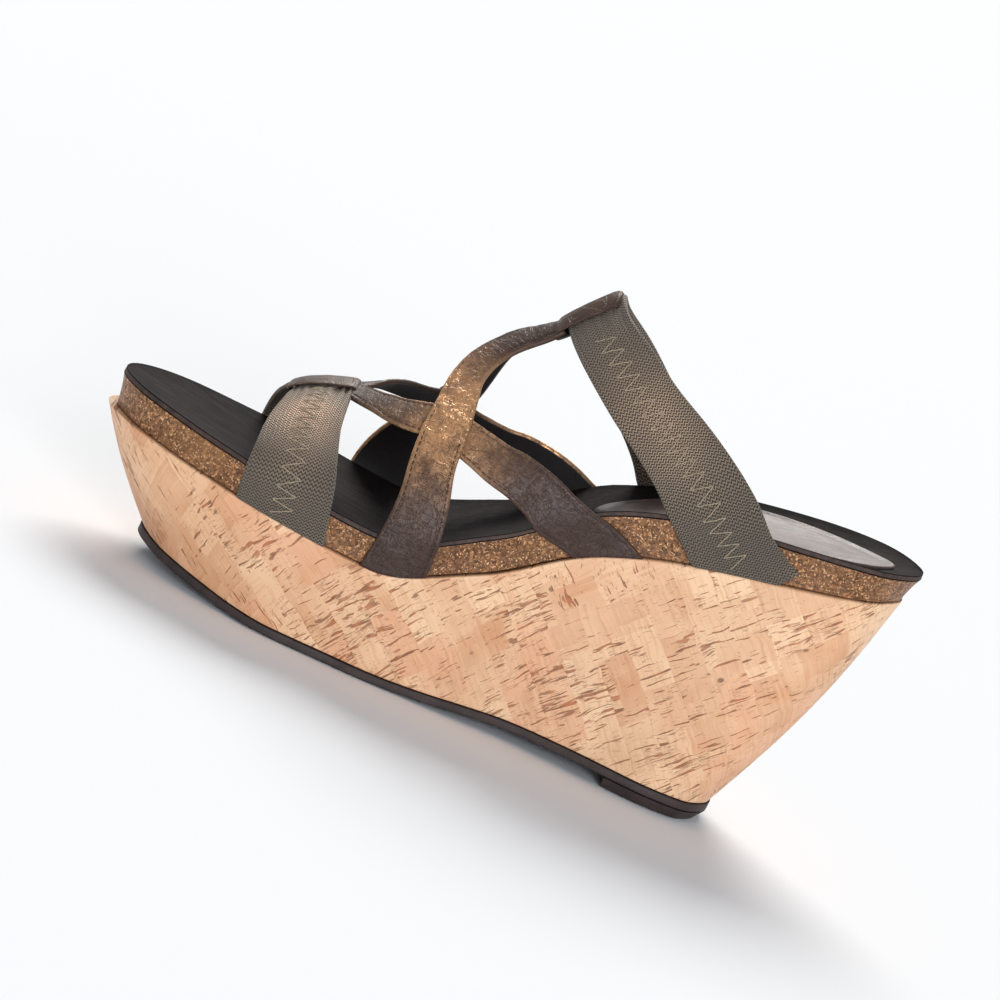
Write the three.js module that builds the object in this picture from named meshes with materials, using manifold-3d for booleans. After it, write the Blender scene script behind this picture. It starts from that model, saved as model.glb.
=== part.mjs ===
// Platform wedge sandal for the right foot, in millimetres.
// The toe points along -X, the outer side of the foot is +Y and +Z is up.
// The sandal stands on the floor plane, on its heel lift and on the flat of its outsole under the ball.

import * as THREE from "three";
import Module from "manifold-3d";
import { mergeVertices } from "three/addons/utils/BufferGeometryUtils.js";

const wasm = await Module();
wasm.setup();

// Footbed, measured on its rim and seen from above
const footbedLength = 246;
const ballWidth = 86;
const heelSeatWidth = 57;

// Height of the rim over the floor
const ballRimHeight = 43.6;
const toeRimRise = 6.6;
const heelRimRise = 55.4;

// Cupping of the footbed below its rim
const toeCupDepth = 2.2;
const ballCupDepth = 3;
const archCupDepth = 4.5;
const heelCupDepth = 6;

// Layers of the sole
const insoleThickness = 1.8;
const heelPadThickness = 0.9;
const midsoleToeHeight = 11.2;
const midsoleBallHeight = 10.6;
const midsoleArchHeight = 15;
const midsoleHeelHeight = 9.8;
const outsoleThickness = 2.6;
const liftThickness = 3.4;
const liftLength = 38;
const liftBevel = 2.4;
const seamGap = 0.3;

// Outlines beside the rim: positive is outside it
const midsoleFootToe = -2;
const midsoleFootBall = -0.4;
const midsoleFootArch = -0.6;
const midsoleFootHeel = -2.6;
const wedgeTopToe = 0.8;
const wedgeTopBall = 1.6;
const wedgeTopArch = 1.4;
const wedgeTopHeel = -2.1;

// Foot of the wedge, against the rim's outline
const soleToeSetback = 19;
const soleHeelSetback = 23.5;
const soleToeInset = 5.6;
const soleBallInset = 5.4;
const soleArchInset = 2;
const soleHeelInset = 3.8;
const outsoleProud = 0.5;
const toeSpring = 6;
const archClearance = 3;

// Swelling of the wedge's wall between its top and its foot
const toeWallSwell = 1.5;
const ballWallSwell = 0.8;
const archWallSwell = -0.6;
const heelWallSwell = 3;

// Form under the straps: how high the crown of the foot stands over the floor at the rear loop
const instepCrownHeight = 124;
const toeFullness = 1.7;
const instepFullness = 1.4;

// Straps
const leatherThickness = 1.7;
const leatherOverlap = 0.3;
const strapStandOff = 0.5;
const elasticThickness = 1.8;
const frontLoopWidth = 10;
const rearLoopWidth = 12;
const toeBandFootWidth = 29;
const toeBandCrownWidth = 18;
const instepBandFootWidth = 28;
const instepBandCrownWidth = 19;
const frontStrapInnerFoot = 20;
const frontStrapOuterFoot = 25;
const frontStrapWaist = 12;
const rearStrapFoot = 16;
const rearStrapWaist = 12;
const stemWidth = 9.5;

// Resolution of the faceted skins
const rowsAlong = 38;
const columnsAcross = 6;
const wallLevels = 5;
const liftRows = 14;
const padRows = 24;
const strapSteps = 26;
const strapColumns = 4;
const loopSteps = 12;

// Footbed stations from toe to heel.
// along: share of footbedLength. inner, outer: half widths, as shares of the width there.
// toe: share of toeRimRise. heelInner, heelOuter: shares of heelRimRise on each side.
const footbedStations = [
  { along: 0.0, inner: 0.053, outer: -0.053, toe: 1.0, heelInner: 0.0, heelOuter: 0.0 },
  { along: 0.015, inner: 0.19, outer: 0.115, toe: 0.97, heelInner: 0.0, heelOuter: 0.0 },
  { along: 0.06, inner: 0.326, outer: 0.263, toe: 0.88, heelInner: 0.0, heelOuter: 0.0 },
  { along: 0.14, inner: 0.419, outer: 0.395, toe: 0.62, heelInner: 0.0, heelOuter: 0.0 },
  { along: 0.26, inner: 0.488, outer: 0.498, toe: 0.3, heelInner: 0.0, heelOuter: 0.0 },
  { along: 0.38, inner: 0.463, outer: 0.519, toe: 0.0, heelInner: 0.01, heelOuter: 0.005 },
  { along: 0.5, inner: 0.428, outer: 0.516, toe: 0.0, heelInner: 0.26, heelOuter: 0.22 },
  { along: 0.62, inner: 0.427, outer: 0.528, toe: 0.0, heelInner: 0.645, heelOuter: 0.605 },
  { along: 0.74, inner: 0.453, outer: 0.519, toe: 0.0, heelInner: 0.82, heelOuter: 0.82 },
  { along: 0.86, inner: 0.496, outer: 0.502, toe: 0.0, heelInner: 0.92, heelOuter: 0.935 },
  { along: 0.94, inner: 0.435, outer: 0.426, toe: 0.0, heelInner: 0.97, heelOuter: 0.985 },
  { along: 0.985, inner: 0.246, outer: 0.235, toe: 0.0, heelInner: 0.995, heelOuter: 1.0 },
  { along: 1.0, inner: 0.01, outer: -0.01, toe: 0.0, heelInner: 1.0, heelOuter: 1.0 },
];

// Stretch along the foot where the width turns from the ball's to the heel's
const waistStart = 0.4;
const waistEnd = 0.7;

// Values that change along the footbed
const cupStations = [
  { along: 0.0, value: toeCupDepth },
  { along: 0.3, value: ballCupDepth },
  { along: 0.58, value: archCupDepth },
  { along: 0.85, value: heelCupDepth },
  { along: 1.0, value: heelCupDepth },
];
const midsoleHeightStations = [
  { along: 0.0, value: midsoleToeHeight },
  { along: 0.36, value: midsoleBallHeight },
  { along: 0.62, value: midsoleArchHeight },
  { along: 1.0, value: midsoleHeelHeight },
];
const midsoleFootStations = [
  { along: 0.0, value: midsoleFootToe },
  { along: 0.12, value: midsoleFootBall },
  { along: 0.6, value: midsoleFootArch },
  { along: 0.85, value: midsoleFootArch },
  { along: 1.0, value: midsoleFootHeel },
];
const wedgeTopStations = [
  { along: 0.0, value: wedgeTopToe },
  { along: 0.12, value: wedgeTopBall },
  { along: 0.6, value: wedgeTopArch },
  { along: 0.85, value: wedgeTopArch },
  { along: 1.0, value: wedgeTopHeel },
];
const soleInsetStations = [
  { along: 0.0, value: soleToeInset },
  { along: 0.35, value: soleBallInset },
  { along: 0.62, value: soleArchInset },
  { along: 1.0, value: soleHeelInset },
];
const wallSwellStations = [
  { along: 0.0, value: toeWallSwell },
  { along: 0.3, value: ballWallSwell },
  { along: 0.6, value: archWallSwell },
  { along: 1.0, value: heelWallSwell },
];
const crownStations = [
  { along: 0.0, value: 0.02 },
  { along: 0.08, value: 0.045 },
  { along: 0.16, value: 0.165 },
  { along: 0.224, value: 0.3 },
  { along: 0.286, value: 0.385 },
  { along: 0.34, value: 0.53 },
  { along: 0.39, value: 0.715 },
  { along: 0.43, value: 0.825 },
  { along: 0.467, value: 0.91 },
  { along: 0.49, value: 1.0 },
  { along: 0.513, value: 1.085 },
  { along: 0.56, value: 1.265 },
  { along: 0.62, value: 1.475 },
  { along: 0.7, value: 1.71 },
  { along: 0.9, value: 2.25 },
];
const fullnessStations = [
  { along: 0.22, value: toeFullness },
  { along: 0.42, value: instepFullness },
];

// A smooth function through a table's column that never swings past its values
function curveThrough(rows, column, key = (row) => row.along) {
  const xs = rows.map(key);
  const ys = rows.map((row) => row[column]);
  const last = xs.length - 1;
  const chord = xs.slice(1).map((x, i) => (ys[i + 1] - ys[i]) / (x - xs[i]));
  const slope = xs.map((x, i) => {
    if (i === 0) return chord[0];
    if (i === last) return chord[last - 1];
    if (chord[i - 1] * chord[i] <= 0) return 0;
    return (2 * chord[i - 1] * chord[i]) / (chord[i - 1] + chord[i]);
  });
  return (at) => {
    const x = THREE.MathUtils.clamp(at, xs[0], xs[last]);
    let i = 0;
    while (i < last - 1 && x > xs[i + 1]) i += 1;
    const span = xs[i + 1] - xs[i];
    const t = (x - xs[i]) / span;
    const rise = ys[i + 1] - ys[i];
    const bendIn = slope[i] * span - rise;
    const bendOut = slope[i + 1] * span - rise;
    return ys[i] + t * rise + t * (1 - t) * ((1 - t) * bendIn - t * bendOut);
  };
}

// Rows crowd towards both ends, so that the ends are round
const turnOf = (along) => Math.acos(1 - 2 * along);
const alongOf = (turn) => (1 - Math.cos(turn)) / 2;

const innerShare = curveThrough(footbedStations, "inner", (row) => turnOf(row.along));
const outerShare = curveThrough(footbedStations, "outer", (row) => turnOf(row.along));
const toeShare = curveThrough(footbedStations, "toe");
const heelShareInner = curveThrough(footbedStations, "heelInner");
const heelShareOuter = curveThrough(footbedStations, "heelOuter");
const cupDepth = curveThrough(cupStations, "value");
const midsoleHeight = curveThrough(midsoleHeightStations, "value");
const midsoleFoot = curveThrough(midsoleFootStations, "value");
const wedgeTop = curveThrough(wedgeTopStations, "value");
const soleInset = curveThrough(soleInsetStations, "value");
const wallSwell = curveThrough(wallSwellStations, "value");
const crownShare = curveThrough(crownStations, "value");
const fullness = curveThrough(fullnessStations, "value");

// side is -1 on the foot's inner side and +1 on its outer side
const xOf = (along) => (along - 0.5) * footbedLength;

function widthAt(along) {
  const blend = THREE.MathUtils.smoothstep(along, waistStart, waistEnd);
  return THREE.MathUtils.lerp(ballWidth, heelSeatWidth, blend);
}

function rimY(turn, side) {
  const share = side < 0 ? innerShare(turn) : outerShare(turn);
  return side * share * widthAt(alongOf(turn));
}

function rimHeight(along, side) {
  const inner = heelShareInner(along);
  const outer = heelShareOuter(along);
  const heel = THREE.MathUtils.lerp(inner, outer, (side + 1) / 2);
  return ballRimHeight + toeShare(along) * toeRimRise + heel * heelRimRise;
}

// Direction in plan that points out of the rim's outline
function outwardAt(turn, side) {
  const step = 0.004;
  const from = Math.max(turn - step, 0);
  const to = Math.min(turn + step, Math.PI);
  const dx = xOf(alongOf(to)) - xOf(alongOf(from));
  const dy = rimY(to, side) - rimY(from, side);
  if (turn === 0) return new THREE.Vector2(-1, 0);
  if (turn === Math.PI) return new THREE.Vector2(1, 0);
  return new THREE.Vector2(-side * dy, side * dx).normalize();
}

// A point of the rim's outline, moved out by offset, at height z
function outlinePoint(turn, side, offset, z) {
  const outward = outwardAt(turn, side);
  const x = xOf(alongOf(turn)) + outward.x * offset;
  return new THREE.Vector3(x, rimY(turn, side) + outward.y * offset, z);
}

// The same for the foot of the wedge, whose outline is shorter and set in
function solePoint(turn, side, proud, z) {
  const along = alongOf(turn);
  const outward = outwardAt(turn, side);
  const offset = proud - soleInset(along);
  const toeEnd = -footbedLength / 2 + soleToeSetback;
  const heelEnd = footbedLength / 2 - soleHeelSetback;
  const x = THREE.MathUtils.lerp(toeEnd, heelEnd, along) + outward.x * offset;
  return new THREE.Vector3(x, rimY(turn, side) + outward.y * offset, z);
}

// Underside of the outsole: toe spring, a flat under the ball, a low arch and a seat for the lift
const outsoleLift = liftThickness + seamGap;
const outsoleUndersideStations = [
  { along: 0.0, value: toeSpring },
  { along: 0.1, value: toeSpring * 0.55 },
  { along: 0.2, value: toeSpring * 0.12 },
  { along: 0.27, value: 0 },
  { along: 0.44, value: 0 },
  { along: 0.66, value: archClearance },
  { along: 0.82, value: outsoleLift },
  { along: 1.0, value: outsoleLift },
];
const outsoleUnderside = curveThrough(outsoleUndersideStations, "value");

// Joins rings of points into one closed body.
// A ring runs over the top of a section and back under it. An end with no width closes by itself.
function loftRings(rings, { closeStart = true, closeEnd = true } = {}) {
  const count = rings[0].length;
  const positions = rings.flatMap((ring) => ring.flatMap((p) => [p.x, p.y, p.z]));
  const faces = [];
  for (let i = 0; i < rings.length - 1; i += 1) {
    for (let k = 0; k < count; k += 1) {
      const a = i * count + k;
      const b = i * count + ((k + 1) % count);
      faces.push([a, b + count, b], [a, a + count, b + count]);
    }
  }
  const end = (rings.length - 1) * count;
  for (let k = 0; k < count / 2 - 1; k += 1) {
    const m = count - 1 - k;
    if (closeStart) faces.push([k, k + 1, m], [k + 1, m - 1, m]);
    if (closeEnd) faces.push([end + k, end + m, end + k + 1], [end + k + 1, end + m, end + m - 1]);
  }
  return solidFrom(positions, faces);
}

function solidFrom(positions, faces) {
  const geometry = new THREE.BufferGeometry();
  geometry.setAttribute("position", new THREE.Float32BufferAttribute(positions, 3));
  geometry.setIndex(faces.flat());
  const merged = mergeVertices(geometry, 1e-3);
  const index = merged.index.array;
  const kept = [];
  for (let i = 0; i < index.length; i += 3) {
    const [a, b, c] = index.slice(i, i + 3);
    if (a !== b && b !== c && c !== a) kept.push(a, b, c);
  }
  const mesh = new wasm.Mesh({
    numProp: 3,
    vertProperties: merged.attributes.position.array,
    triVerts: new Uint32Array(kept),
  });
  return new wasm.Manifold(mesh);
}

// A layer of the sole: top and bottom skins over the same rows, with the wall between their edges
function layer({ top, bottom, wall = [], from = 0, to = Math.PI, rows = rowsAlong }) {
  const rings = [];
  for (let i = 0; i <= rows; i += 1) {
    const turn = THREE.MathUtils.lerp(from, to, i / rows);
    const ring = [];
    for (let j = 0; j <= columnsAcross; j += 1) ring.push(top(turn, (2 * j) / columnsAcross - 1));
    for (const level of wall) ring.push(level(turn, 1));
    for (let j = columnsAcross; j >= 0; j -= 1) ring.push(bottom(turn, (2 * j) / columnsAcross - 1));
    for (const level of [...wall].reverse()) ring.push(level(turn, -1));
    rings.push(ring);
  }
  return loftRings(rings, { closeStart: from > 0, closeEnd: to < Math.PI });
}

// Spreads a skin between its two edges. sag(across) lowers its middle.
function spanEdges(edge, turn, across, sag = () => 0) {
  const inner = edge(turn, -1);
  const outer = edge(turn, 1);
  const point = inner.lerp(outer, (across + 1) / 2);
  point.z -= sag(across);
  return point;
}

// The face that the foot stands on, lowered by depth
function footSurface(turn, across, depth = 0) {
  const along = alongOf(turn);
  const edge = (t, side) => outlinePoint(t, side, 0, rimHeight(along, side) - depth);
  const cup = (v) => cupDepth(along) * (1 - Math.abs(v) ** 3) * Math.sin(turn);
  return spanEdges(edge, turn, across, cup);
}

const midsoleTopDepth = insoleThickness + seamGap;

function midsoleUnderside(turn, across) {
  const along = alongOf(turn);
  const drop = midsoleHeight(along);
  const edge = (t, side) => outlinePoint(t, side, midsoleFoot(along), rimHeight(along, side) - drop);
  return spanEdges(edge, turn, across);
}

function wedgeTopSurface(turn, across, rise = 0) {
  const along = alongOf(turn);
  const edge = (t, side) => {
    const z = rimHeight(along, side) - midsoleHeight(along) - seamGap + rise;
    return outlinePoint(t, side, wedgeTop(along), z);
  };
  return spanEdges(edge, turn, across);
}

function soleSurface(turn, across, proud, height) {
  const along = alongOf(turn);
  const edge = (t, side) => solePoint(t, side, proud, outsoleUnderside(along) + height);
  return spanEdges(edge, turn, across);
}

// Wall of the wedge at a share of the way down, swelling between its top and its foot
function wedgeWall(turn, side, share) {
  const along = alongOf(turn);
  const head = wedgeTopSurface(turn, side);
  const foot = soleSurface(turn, side, 0, outsoleThickness + seamGap);
  const outward = outwardAt(turn, side);
  const swell = wallSwell(along) * Math.sin(Math.PI * share);
  const point = head.lerp(foot, share);
  return point.add(new THREE.Vector3(outward.x * swell, outward.y * swell, 0));
}

function makeInsole() {
  return layer({
    top: (turn, across) => footSurface(turn, across),
    bottom: (turn, across) => footSurface(turn, across, insoleThickness),
  });
}

function makeMidsole() {
  return layer({
    top: (turn, across) => footSurface(turn, across, midsoleTopDepth),
    bottom: (turn, across) => midsoleUnderside(turn, across),
  });
}

function makeWedge() {
  const shares = Array.from({ length: wallLevels - 1 }, (_, i) => (i + 1) / wallLevels);
  return layer({
    top: (turn, across) => wedgeTopSurface(turn, across),
    bottom: (turn, across) => soleSurface(turn, across, 0, outsoleThickness + seamGap),
    wall: shares.map((share) => (turn, side) => wedgeWall(turn, side, share)),
  });
}

function makeOutsole() {
  return layer({
    top: (turn, across) => soleSurface(turn, across, outsoleProud, outsoleThickness),
    bottom: (turn, across) => soleSurface(turn, across, outsoleProud, 0),
  });
}

// The lift is the last stretch of the outsole's outline, flat on the floor, with its back corner bevelled
function makeHeelLift() {
  const soleLength = footbedLength - soleToeSetback - soleHeelSetback;
  const start = turnOf(1 - liftLength / soleLength);
  const at = (turn, side, proud, z) => solePoint(turn, side, outsoleProud + proud, z);
  return layer({
    top: (turn, across) => spanEdges((t, s) => at(t, s, 0, liftThickness), turn, across),
    bottom: (turn, across) => spanEdges((t, s) => at(t, s, -liftBevel, 0), turn, across),
    from: start,
    rows: liftRows,
  });
}

// The pad is an oval on the insole, from the arch to just inside the heel.
// It is drawn into the insole and trimmed to rest on its face.
const padStart = 0.6;
const padEnd = 0.965;
const padWidthShare = 0.8;
const padRoundness = 0.6;

function makeHeelPad(insole) {
  const at = (turn, across, height) => {
    const along = THREE.MathUtils.lerp(padStart, padEnd, alongOf(turn));
    const reach = padWidthShare * Math.sin(turn) ** padRoundness;
    const point = footSurface(turnOf(along), across * reach);
    point.z += height;
    return point;
  };
  const blank = layer({
    top: (turn, across) => at(turn, across, seamGap + heelPadThickness),
    bottom: (turn, across) => at(turn, across, -insoleThickness / 3),
    rows: padRows,
  });
  return blank.subtract(insole.translate([0, 0, seamGap]));
}

// Form that the straps lie on. across is -1 and +1 at the rim, 0 at the crown,
// and goes on to 1 + wallReach at the foot of the midsole.
const wallReach = 0.25;

function crownHeight(along) {
  return ballRimHeight + crownShare(along) * (instepCrownHeight - ballRimHeight);
}

function formPoint({ along, across }) {
  const side = across < 0 ? -1 : 1;
  const turn = turnOf(along);
  const reach = Math.abs(across);
  const rim = outlinePoint(turn, side, 0, rimHeight(along, side));
  if (reach > 1) {
    const foot = midsoleUnderside(turn, side);
    return rim.lerp(foot, (reach - 1) / wallReach);
  }
  const bend = (reach * Math.PI) / 2;
  const n = fullness(along);
  const round = (Math.sin(bend) ** n + Math.cos(bend) ** n) ** (-1 / n);
  const height = crownHeight(along) - rim.z;
  const y = rim.y * Math.sin(bend) * round;
  return new THREE.Vector3(rim.x, y, rim.z + height * Math.cos(bend) * round);
}

// Directions in which along and across run on the form, and the way out of it
function formFrame({ along, across }) {
  const step = 0.003;
  const ahead = formPoint({ along: along + step, across });
  ahead.sub(formPoint({ along: along - step, across })).divideScalar(2 * step);
  const aside = formPoint({ along, across: across + step });
  aside.sub(formPoint({ along, across: across - step })).divideScalar(2 * step);
  const out = new THREE.Vector3().crossVectors(ahead, aside).normalize();
  return { ahead, aside, out };
}

// Moves over the form by a distance in a direction, in short steps
function walk(start, direction, distance) {
  const steps = Math.ceil(Math.abs(distance));
  let { along, across } = start;
  for (let i = 0; i < steps; i += 1) {
    const { ahead, aside } = formFrame({ along, across });
    const move = direction.clone().multiplyScalar(distance / steps);
    const aa = ahead.dot(ahead);
    const ab = ahead.dot(aside);
    const bb = aside.dot(aside);
    const ma = ahead.dot(move);
    const mb = aside.dot(move);
    const det = aa * bb - ab * ab;
    along += (ma * bb - mb * ab) / det;
    across += (mb * aa - ma * ab) / det;
  }
  return { along, across };
}

// A band of material that lies on the form along a route.
// Route rows hold along, across, width and lift, the height over the form in layers of leather.
const layerStep = leatherThickness - leatherOverlap;

function bandSolid(route, { thickness, grow = 0, steps = strapSteps }) {
  const keyed = route.map((row, i) => ({ ...row, at: i / (route.length - 1) }));
  const read = (column) => curveThrough(keyed, column, (row) => row.at);
  const along = read("along");
  const across = read("across");
  const width = read("width");
  const lift = read("lift");
  const placeAt = (t) => {
    const held = THREE.MathUtils.clamp(t, 0, 1);
    return { along: along(held), across: across(held) };
  };
  const raise = (place, height) => {
    const { out } = formFrame(place);
    return formPoint(place).addScaledVector(out, height);
  };
  const nudge = 0.02;
  const rings = [];
  for (let i = 0; i <= steps; i += 1) {
    const t = i / steps;
    const here = placeAt(t);
    const run = formPoint(placeAt(t + nudge)).sub(formPoint(placeAt(t - nudge))).normalize();
    const { out } = formFrame(here);
    const sideways = new THREE.Vector3().crossVectors(out, run).normalize();
    const half = width(t) / 2 + grow;
    const places = [];
    for (let j = 0; j <= strapColumns; j += 1) {
      const share = (2 * j) / strapColumns - 1;
      places.push(walk(here, sideways, share * half));
    }
    const low = strapStandOff + lift(t) * layerStep - grow;
    const high = low + thickness + 2 * grow;
    const over = places.map((place) => raise(place, high));
    const under = places.map((place) => raise(place, low));
    rings.push([...over, ...under.reverse()]);
  }
  return loftRings(rings);
}

// Routes of the bands, from the inner side to the outer side
const past = 1 + wallReach * 1.4;
const toeBandRoute = [
  { along: 0.259, across: -past, width: toeBandFootWidth, lift: 0 },
  { along: 0.2465, across: -1.0, width: toeBandFootWidth * 0.96, lift: 0 },
  { along: 0.24, across: -0.8, width: toeBandFootWidth * 0.87, lift: 0.2 },
  { along: 0.232, across: -0.5, width: toeBandCrownWidth * 1.22, lift: 0.7 },
  { along: 0.235, across: -0.25, width: toeBandCrownWidth * 1.06, lift: 1 },
  { along: 0.237, across: 0.0, width: toeBandCrownWidth * 0.97, lift: 1 },
  { along: 0.229, across: 0.25, width: toeBandCrownWidth, lift: 1 },
  { along: 0.217, across: 0.5, width: toeBandCrownWidth * 1.12, lift: 0.7 },
  { along: 0.2145, across: 0.8, width: toeBandFootWidth * 0.75, lift: 0.2 },
  { along: 0.2195, across: 1.0, width: toeBandFootWidth * 0.88, lift: 0 },
  { along: 0.231, across: past, width: toeBandFootWidth, lift: 0 },
];
const instepBandRoute = [
  { along: 0.818, across: -past, width: instepBandFootWidth, lift: 0 },
  { along: 0.736, across: -1.0, width: instepBandFootWidth * 0.93, lift: 0 },
  { along: 0.682, across: -0.9, width: instepBandFootWidth * 0.86, lift: 0.2 },
  { along: 0.606, across: -0.72, width: instepBandCrownWidth * 1.16, lift: 0.5 },
  { along: 0.542, across: -0.39, width: instepBandCrownWidth * 1.08, lift: 1 },
  { along: 0.495, across: 0.0, width: instepBandCrownWidth, lift: 1 },
  { along: 0.542, across: 0.41, width: instepBandCrownWidth * 1.08, lift: 1 },
  { along: 0.598, across: 0.73, width: instepBandCrownWidth * 1.16, lift: 0.5 },
  { along: 0.648, across: 0.89, width: instepBandFootWidth * 0.86, lift: 0.2 },
  { along: 0.69, across: 1.0, width: instepBandFootWidth * 0.93, lift: 0 },
  { along: 0.765, across: past, width: instepBandFootWidth, lift: 0 },
];

// Routes of the leather straps, from the foot to the loop.
// Each front strap rises over the rear strap where they cross, and ends in the rear loop.
const frontStrapInnerRoute = [
  { along: 0.405, across: -past, width: frontStrapInnerFoot, lift: 0 },
  { along: 0.407, across: -1.0, width: frontStrapInnerFoot * 0.9, lift: 0 },
  { along: 0.402, across: -0.85, width: frontStrapInnerFoot * 0.77, lift: 0.5 },
  { along: 0.393, across: -0.7, width: frontStrapWaist * 1.16, lift: 0.9 },
  { along: 0.391, across: -0.555, width: frontStrapWaist * 1.12, lift: 1 },
  { along: 0.391, across: -0.41, width: frontStrapWaist * 1, lift: 1 },
  { along: 0.389, across: -0.26, width: frontStrapWaist * 0.9, lift: 1 },
  { along: 0.403, across: -0.125, width: frontStrapWaist * 0.88, lift: 1 },
  { along: 0.43, across: -0.065, width: stemWidth, lift: 1 },
  { along: 0.47, across: -0.02, width: stemWidth, lift: 1 },
];
const frontStrapOuterRoute = [
  { along: 0.349, across: past, width: frontStrapOuterFoot, lift: 0 },
  { along: 0.341, across: 1.0, width: frontStrapOuterFoot * 0.86, lift: 0 },
  { along: 0.345, across: 0.86, width: frontStrapOuterFoot * 0.74, lift: 0.4 },
  { along: 0.356, across: 0.73, width: frontStrapWaist * 1.3, lift: 0.8 },
  { along: 0.374, across: 0.61, width: frontStrapWaist * 1.14, lift: 1 },
  { along: 0.391, across: 0.48, width: frontStrapWaist * 1.02, lift: 1 },
  { along: 0.401, across: 0.34, width: frontStrapWaist * 0.93, lift: 1 },
  { along: 0.41, across: 0.2, width: frontStrapWaist * 0.88, lift: 1 },
  { along: 0.432, across: 0.08, width: stemWidth, lift: 1 },
  { along: 0.47, across: 0.02, width: stemWidth, lift: 1 },
];
const rearStrapInnerRoute = [
  { along: 0.66, across: -past, width: rearStrapFoot, lift: 0 },
  { along: 0.562, across: -1.0, width: rearStrapFoot * 0.96, lift: 0 },
  { along: 0.521, across: -0.88, width: rearStrapFoot * 0.92, lift: 0 },
  { along: 0.471, across: -0.745, width: rearStrapWaist * 1.12, lift: 0 },
  { along: 0.424, across: -0.605, width: rearStrapWaist, lift: 0 },
  { along: 0.364, across: -0.435, width: rearStrapWaist, lift: 0 },
  { along: 0.33, across: -0.34, width: rearStrapWaist * 0.92, lift: 0.2 },
  { along: 0.303, across: -0.23, width: stemWidth, lift: 0.6 },
  { along: 0.262, across: -0.08, width: stemWidth, lift: 1 },
];
const rearStrapOuterRoute = [
  { along: 0.648, across: past, width: rearStrapFoot, lift: 0 },
  { along: 0.562, across: 1.0, width: rearStrapFoot * 0.96, lift: 0 },
  { along: 0.508, across: 0.87, width: rearStrapFoot * 0.9, lift: 0 },
  { along: 0.458, across: 0.765, width: rearStrapWaist * 1.03, lift: 0 },
  { along: 0.41, across: 0.65, width: rearStrapWaist * 0.95, lift: 0 },
  { along: 0.362, across: 0.47, width: rearStrapWaist * 0.85, lift: 0 },
  { along: 0.322, across: 0.27, width: rearStrapWaist * 0.76, lift: 0.2 },
  { along: 0.298, across: 0.08, width: stemWidth * 0.92, lift: 0.6 },
  { along: 0.262, across: -0.05, width: stemWidth * 0.92, lift: 1 },
];

// A sleeve of leather round a band at the crown, before the band's channel is cut through it
const frontLoopAside = -0.06;

function makeLoop(bandRoute, bandWidth, loopWidth, across) {
  const middle = bandRoute[(bandRoute.length - 1) / 2];
  const { ahead } = formFrame({ along: middle.along, across });
  const half = (bandWidth / 2 + seamGap + layerStep) / ahead.length();
  const sleeveRoute = [-1, -0.5, 0, 0.5, 1].map((share) => ({
    along: middle.along + share * half,
    across,
    width: loopWidth,
    lift: 0,
  }));
  const depth = 2 * layerStep + elasticThickness;
  return bandSolid(sleeveRoute, { thickness: depth, steps: loopSteps });
}

// What no strap may enter: the wedge's top, carried on past its edges
function makeLedgeCutter() {
  const spread = 1.6;
  const depth = 16;
  return layer({
    top: (turn, across) => wedgeTopSurface(turn, across * spread, seamGap),
    bottom: (turn, across) => wedgeTopSurface(turn, across * spread, -depth),
  });
}

function makeElastic(route, ledge) {
  return bandSolid(route, { thickness: elasticThickness }).subtract(ledge);
}

function makeLeatherLattice(ledge) {
  const straps = [
    frontStrapInnerRoute,
    frontStrapOuterRoute,
    rearStrapInnerRoute,
    rearStrapOuterRoute,
  ].map((route) => bandSolid(route, { thickness: leatherThickness }));
  const loops = [
    makeLoop(toeBandRoute, toeBandCrownWidth, frontLoopWidth, frontLoopAside),
    makeLoop(instepBandRoute, instepBandCrownWidth, rearLoopWidth, 0),
  ];
  const channels = [toeBandRoute, instepBandRoute].map((route) =>
    bandSolid(route, { thickness: elasticThickness, grow: seamGap }),
  );
  const joined = [...straps, ...loops].reduce((net, piece) => net.add(piece));
  return channels.reduce((net, channel) => net.subtract(channel), joined.subtract(ledge));
}

// Materials
const colours = {
  cork: new THREE.MeshStandardMaterial({ color: 0xdcae7c, roughness: 0.85, metalness: 0 }),
  bronzeCork: new THREE.MeshStandardMaterial({ color: 0x8a6238, roughness: 0.6, metalness: 0.2 }),
  rubber: new THREE.MeshStandardMaterial({ color: 0x3e322f, roughness: 0.7, metalness: 0 }),
  suede: new THREE.MeshStandardMaterial({ color: 0x2a2021, roughness: 0.9, metalness: 0 }),
  pad: new THREE.MeshStandardMaterial({ color: 0x5b4a46, roughness: 0.55, metalness: 0 }),
  leather: new THREE.MeshStandardMaterial({ color: 0x5a4440, roughness: 0.45, metalness: 0.3 }),
  elastic: new THREE.MeshStandardMaterial({ color: 0x5f584c, roughness: 0.85, metalness: 0 }),
};

function meshOf(name, solid, material) {
  const { vertProperties, triVerts } = solid.getMesh();
  const geometry = new THREE.BufferGeometry();
  geometry.setAttribute("position", new THREE.BufferAttribute(vertProperties, 3));
  geometry.setIndex(new THREE.BufferAttribute(triVerts, 1));
  geometry.computeVertexNormals();
  const mesh = new THREE.Mesh(geometry, material);
  mesh.name = name;
  return mesh;
}

const ledge = makeLedgeCutter();
const insole = makeInsole();
const sandal = new THREE.Group();
sandal.add(
  meshOf("outsole", makeOutsole(), colours.rubber),
  meshOf("heel_lift", makeHeelLift(), colours.rubber),
  meshOf("wedge", makeWedge(), colours.cork),
  meshOf("midsole", makeMidsole(), colours.bronzeCork),
  meshOf("insole", insole, colours.suede),
  meshOf("heel_pad", makeHeelPad(insole), colours.pad),
  meshOf("toe_band", makeElastic(toeBandRoute, ledge), colours.elastic),
  meshOf("instep_band", makeElastic(instepBandRoute, ledge), colours.elastic),
  meshOf("leather_lattice", makeLeatherLattice(ledge), colours.leather),
);

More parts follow.
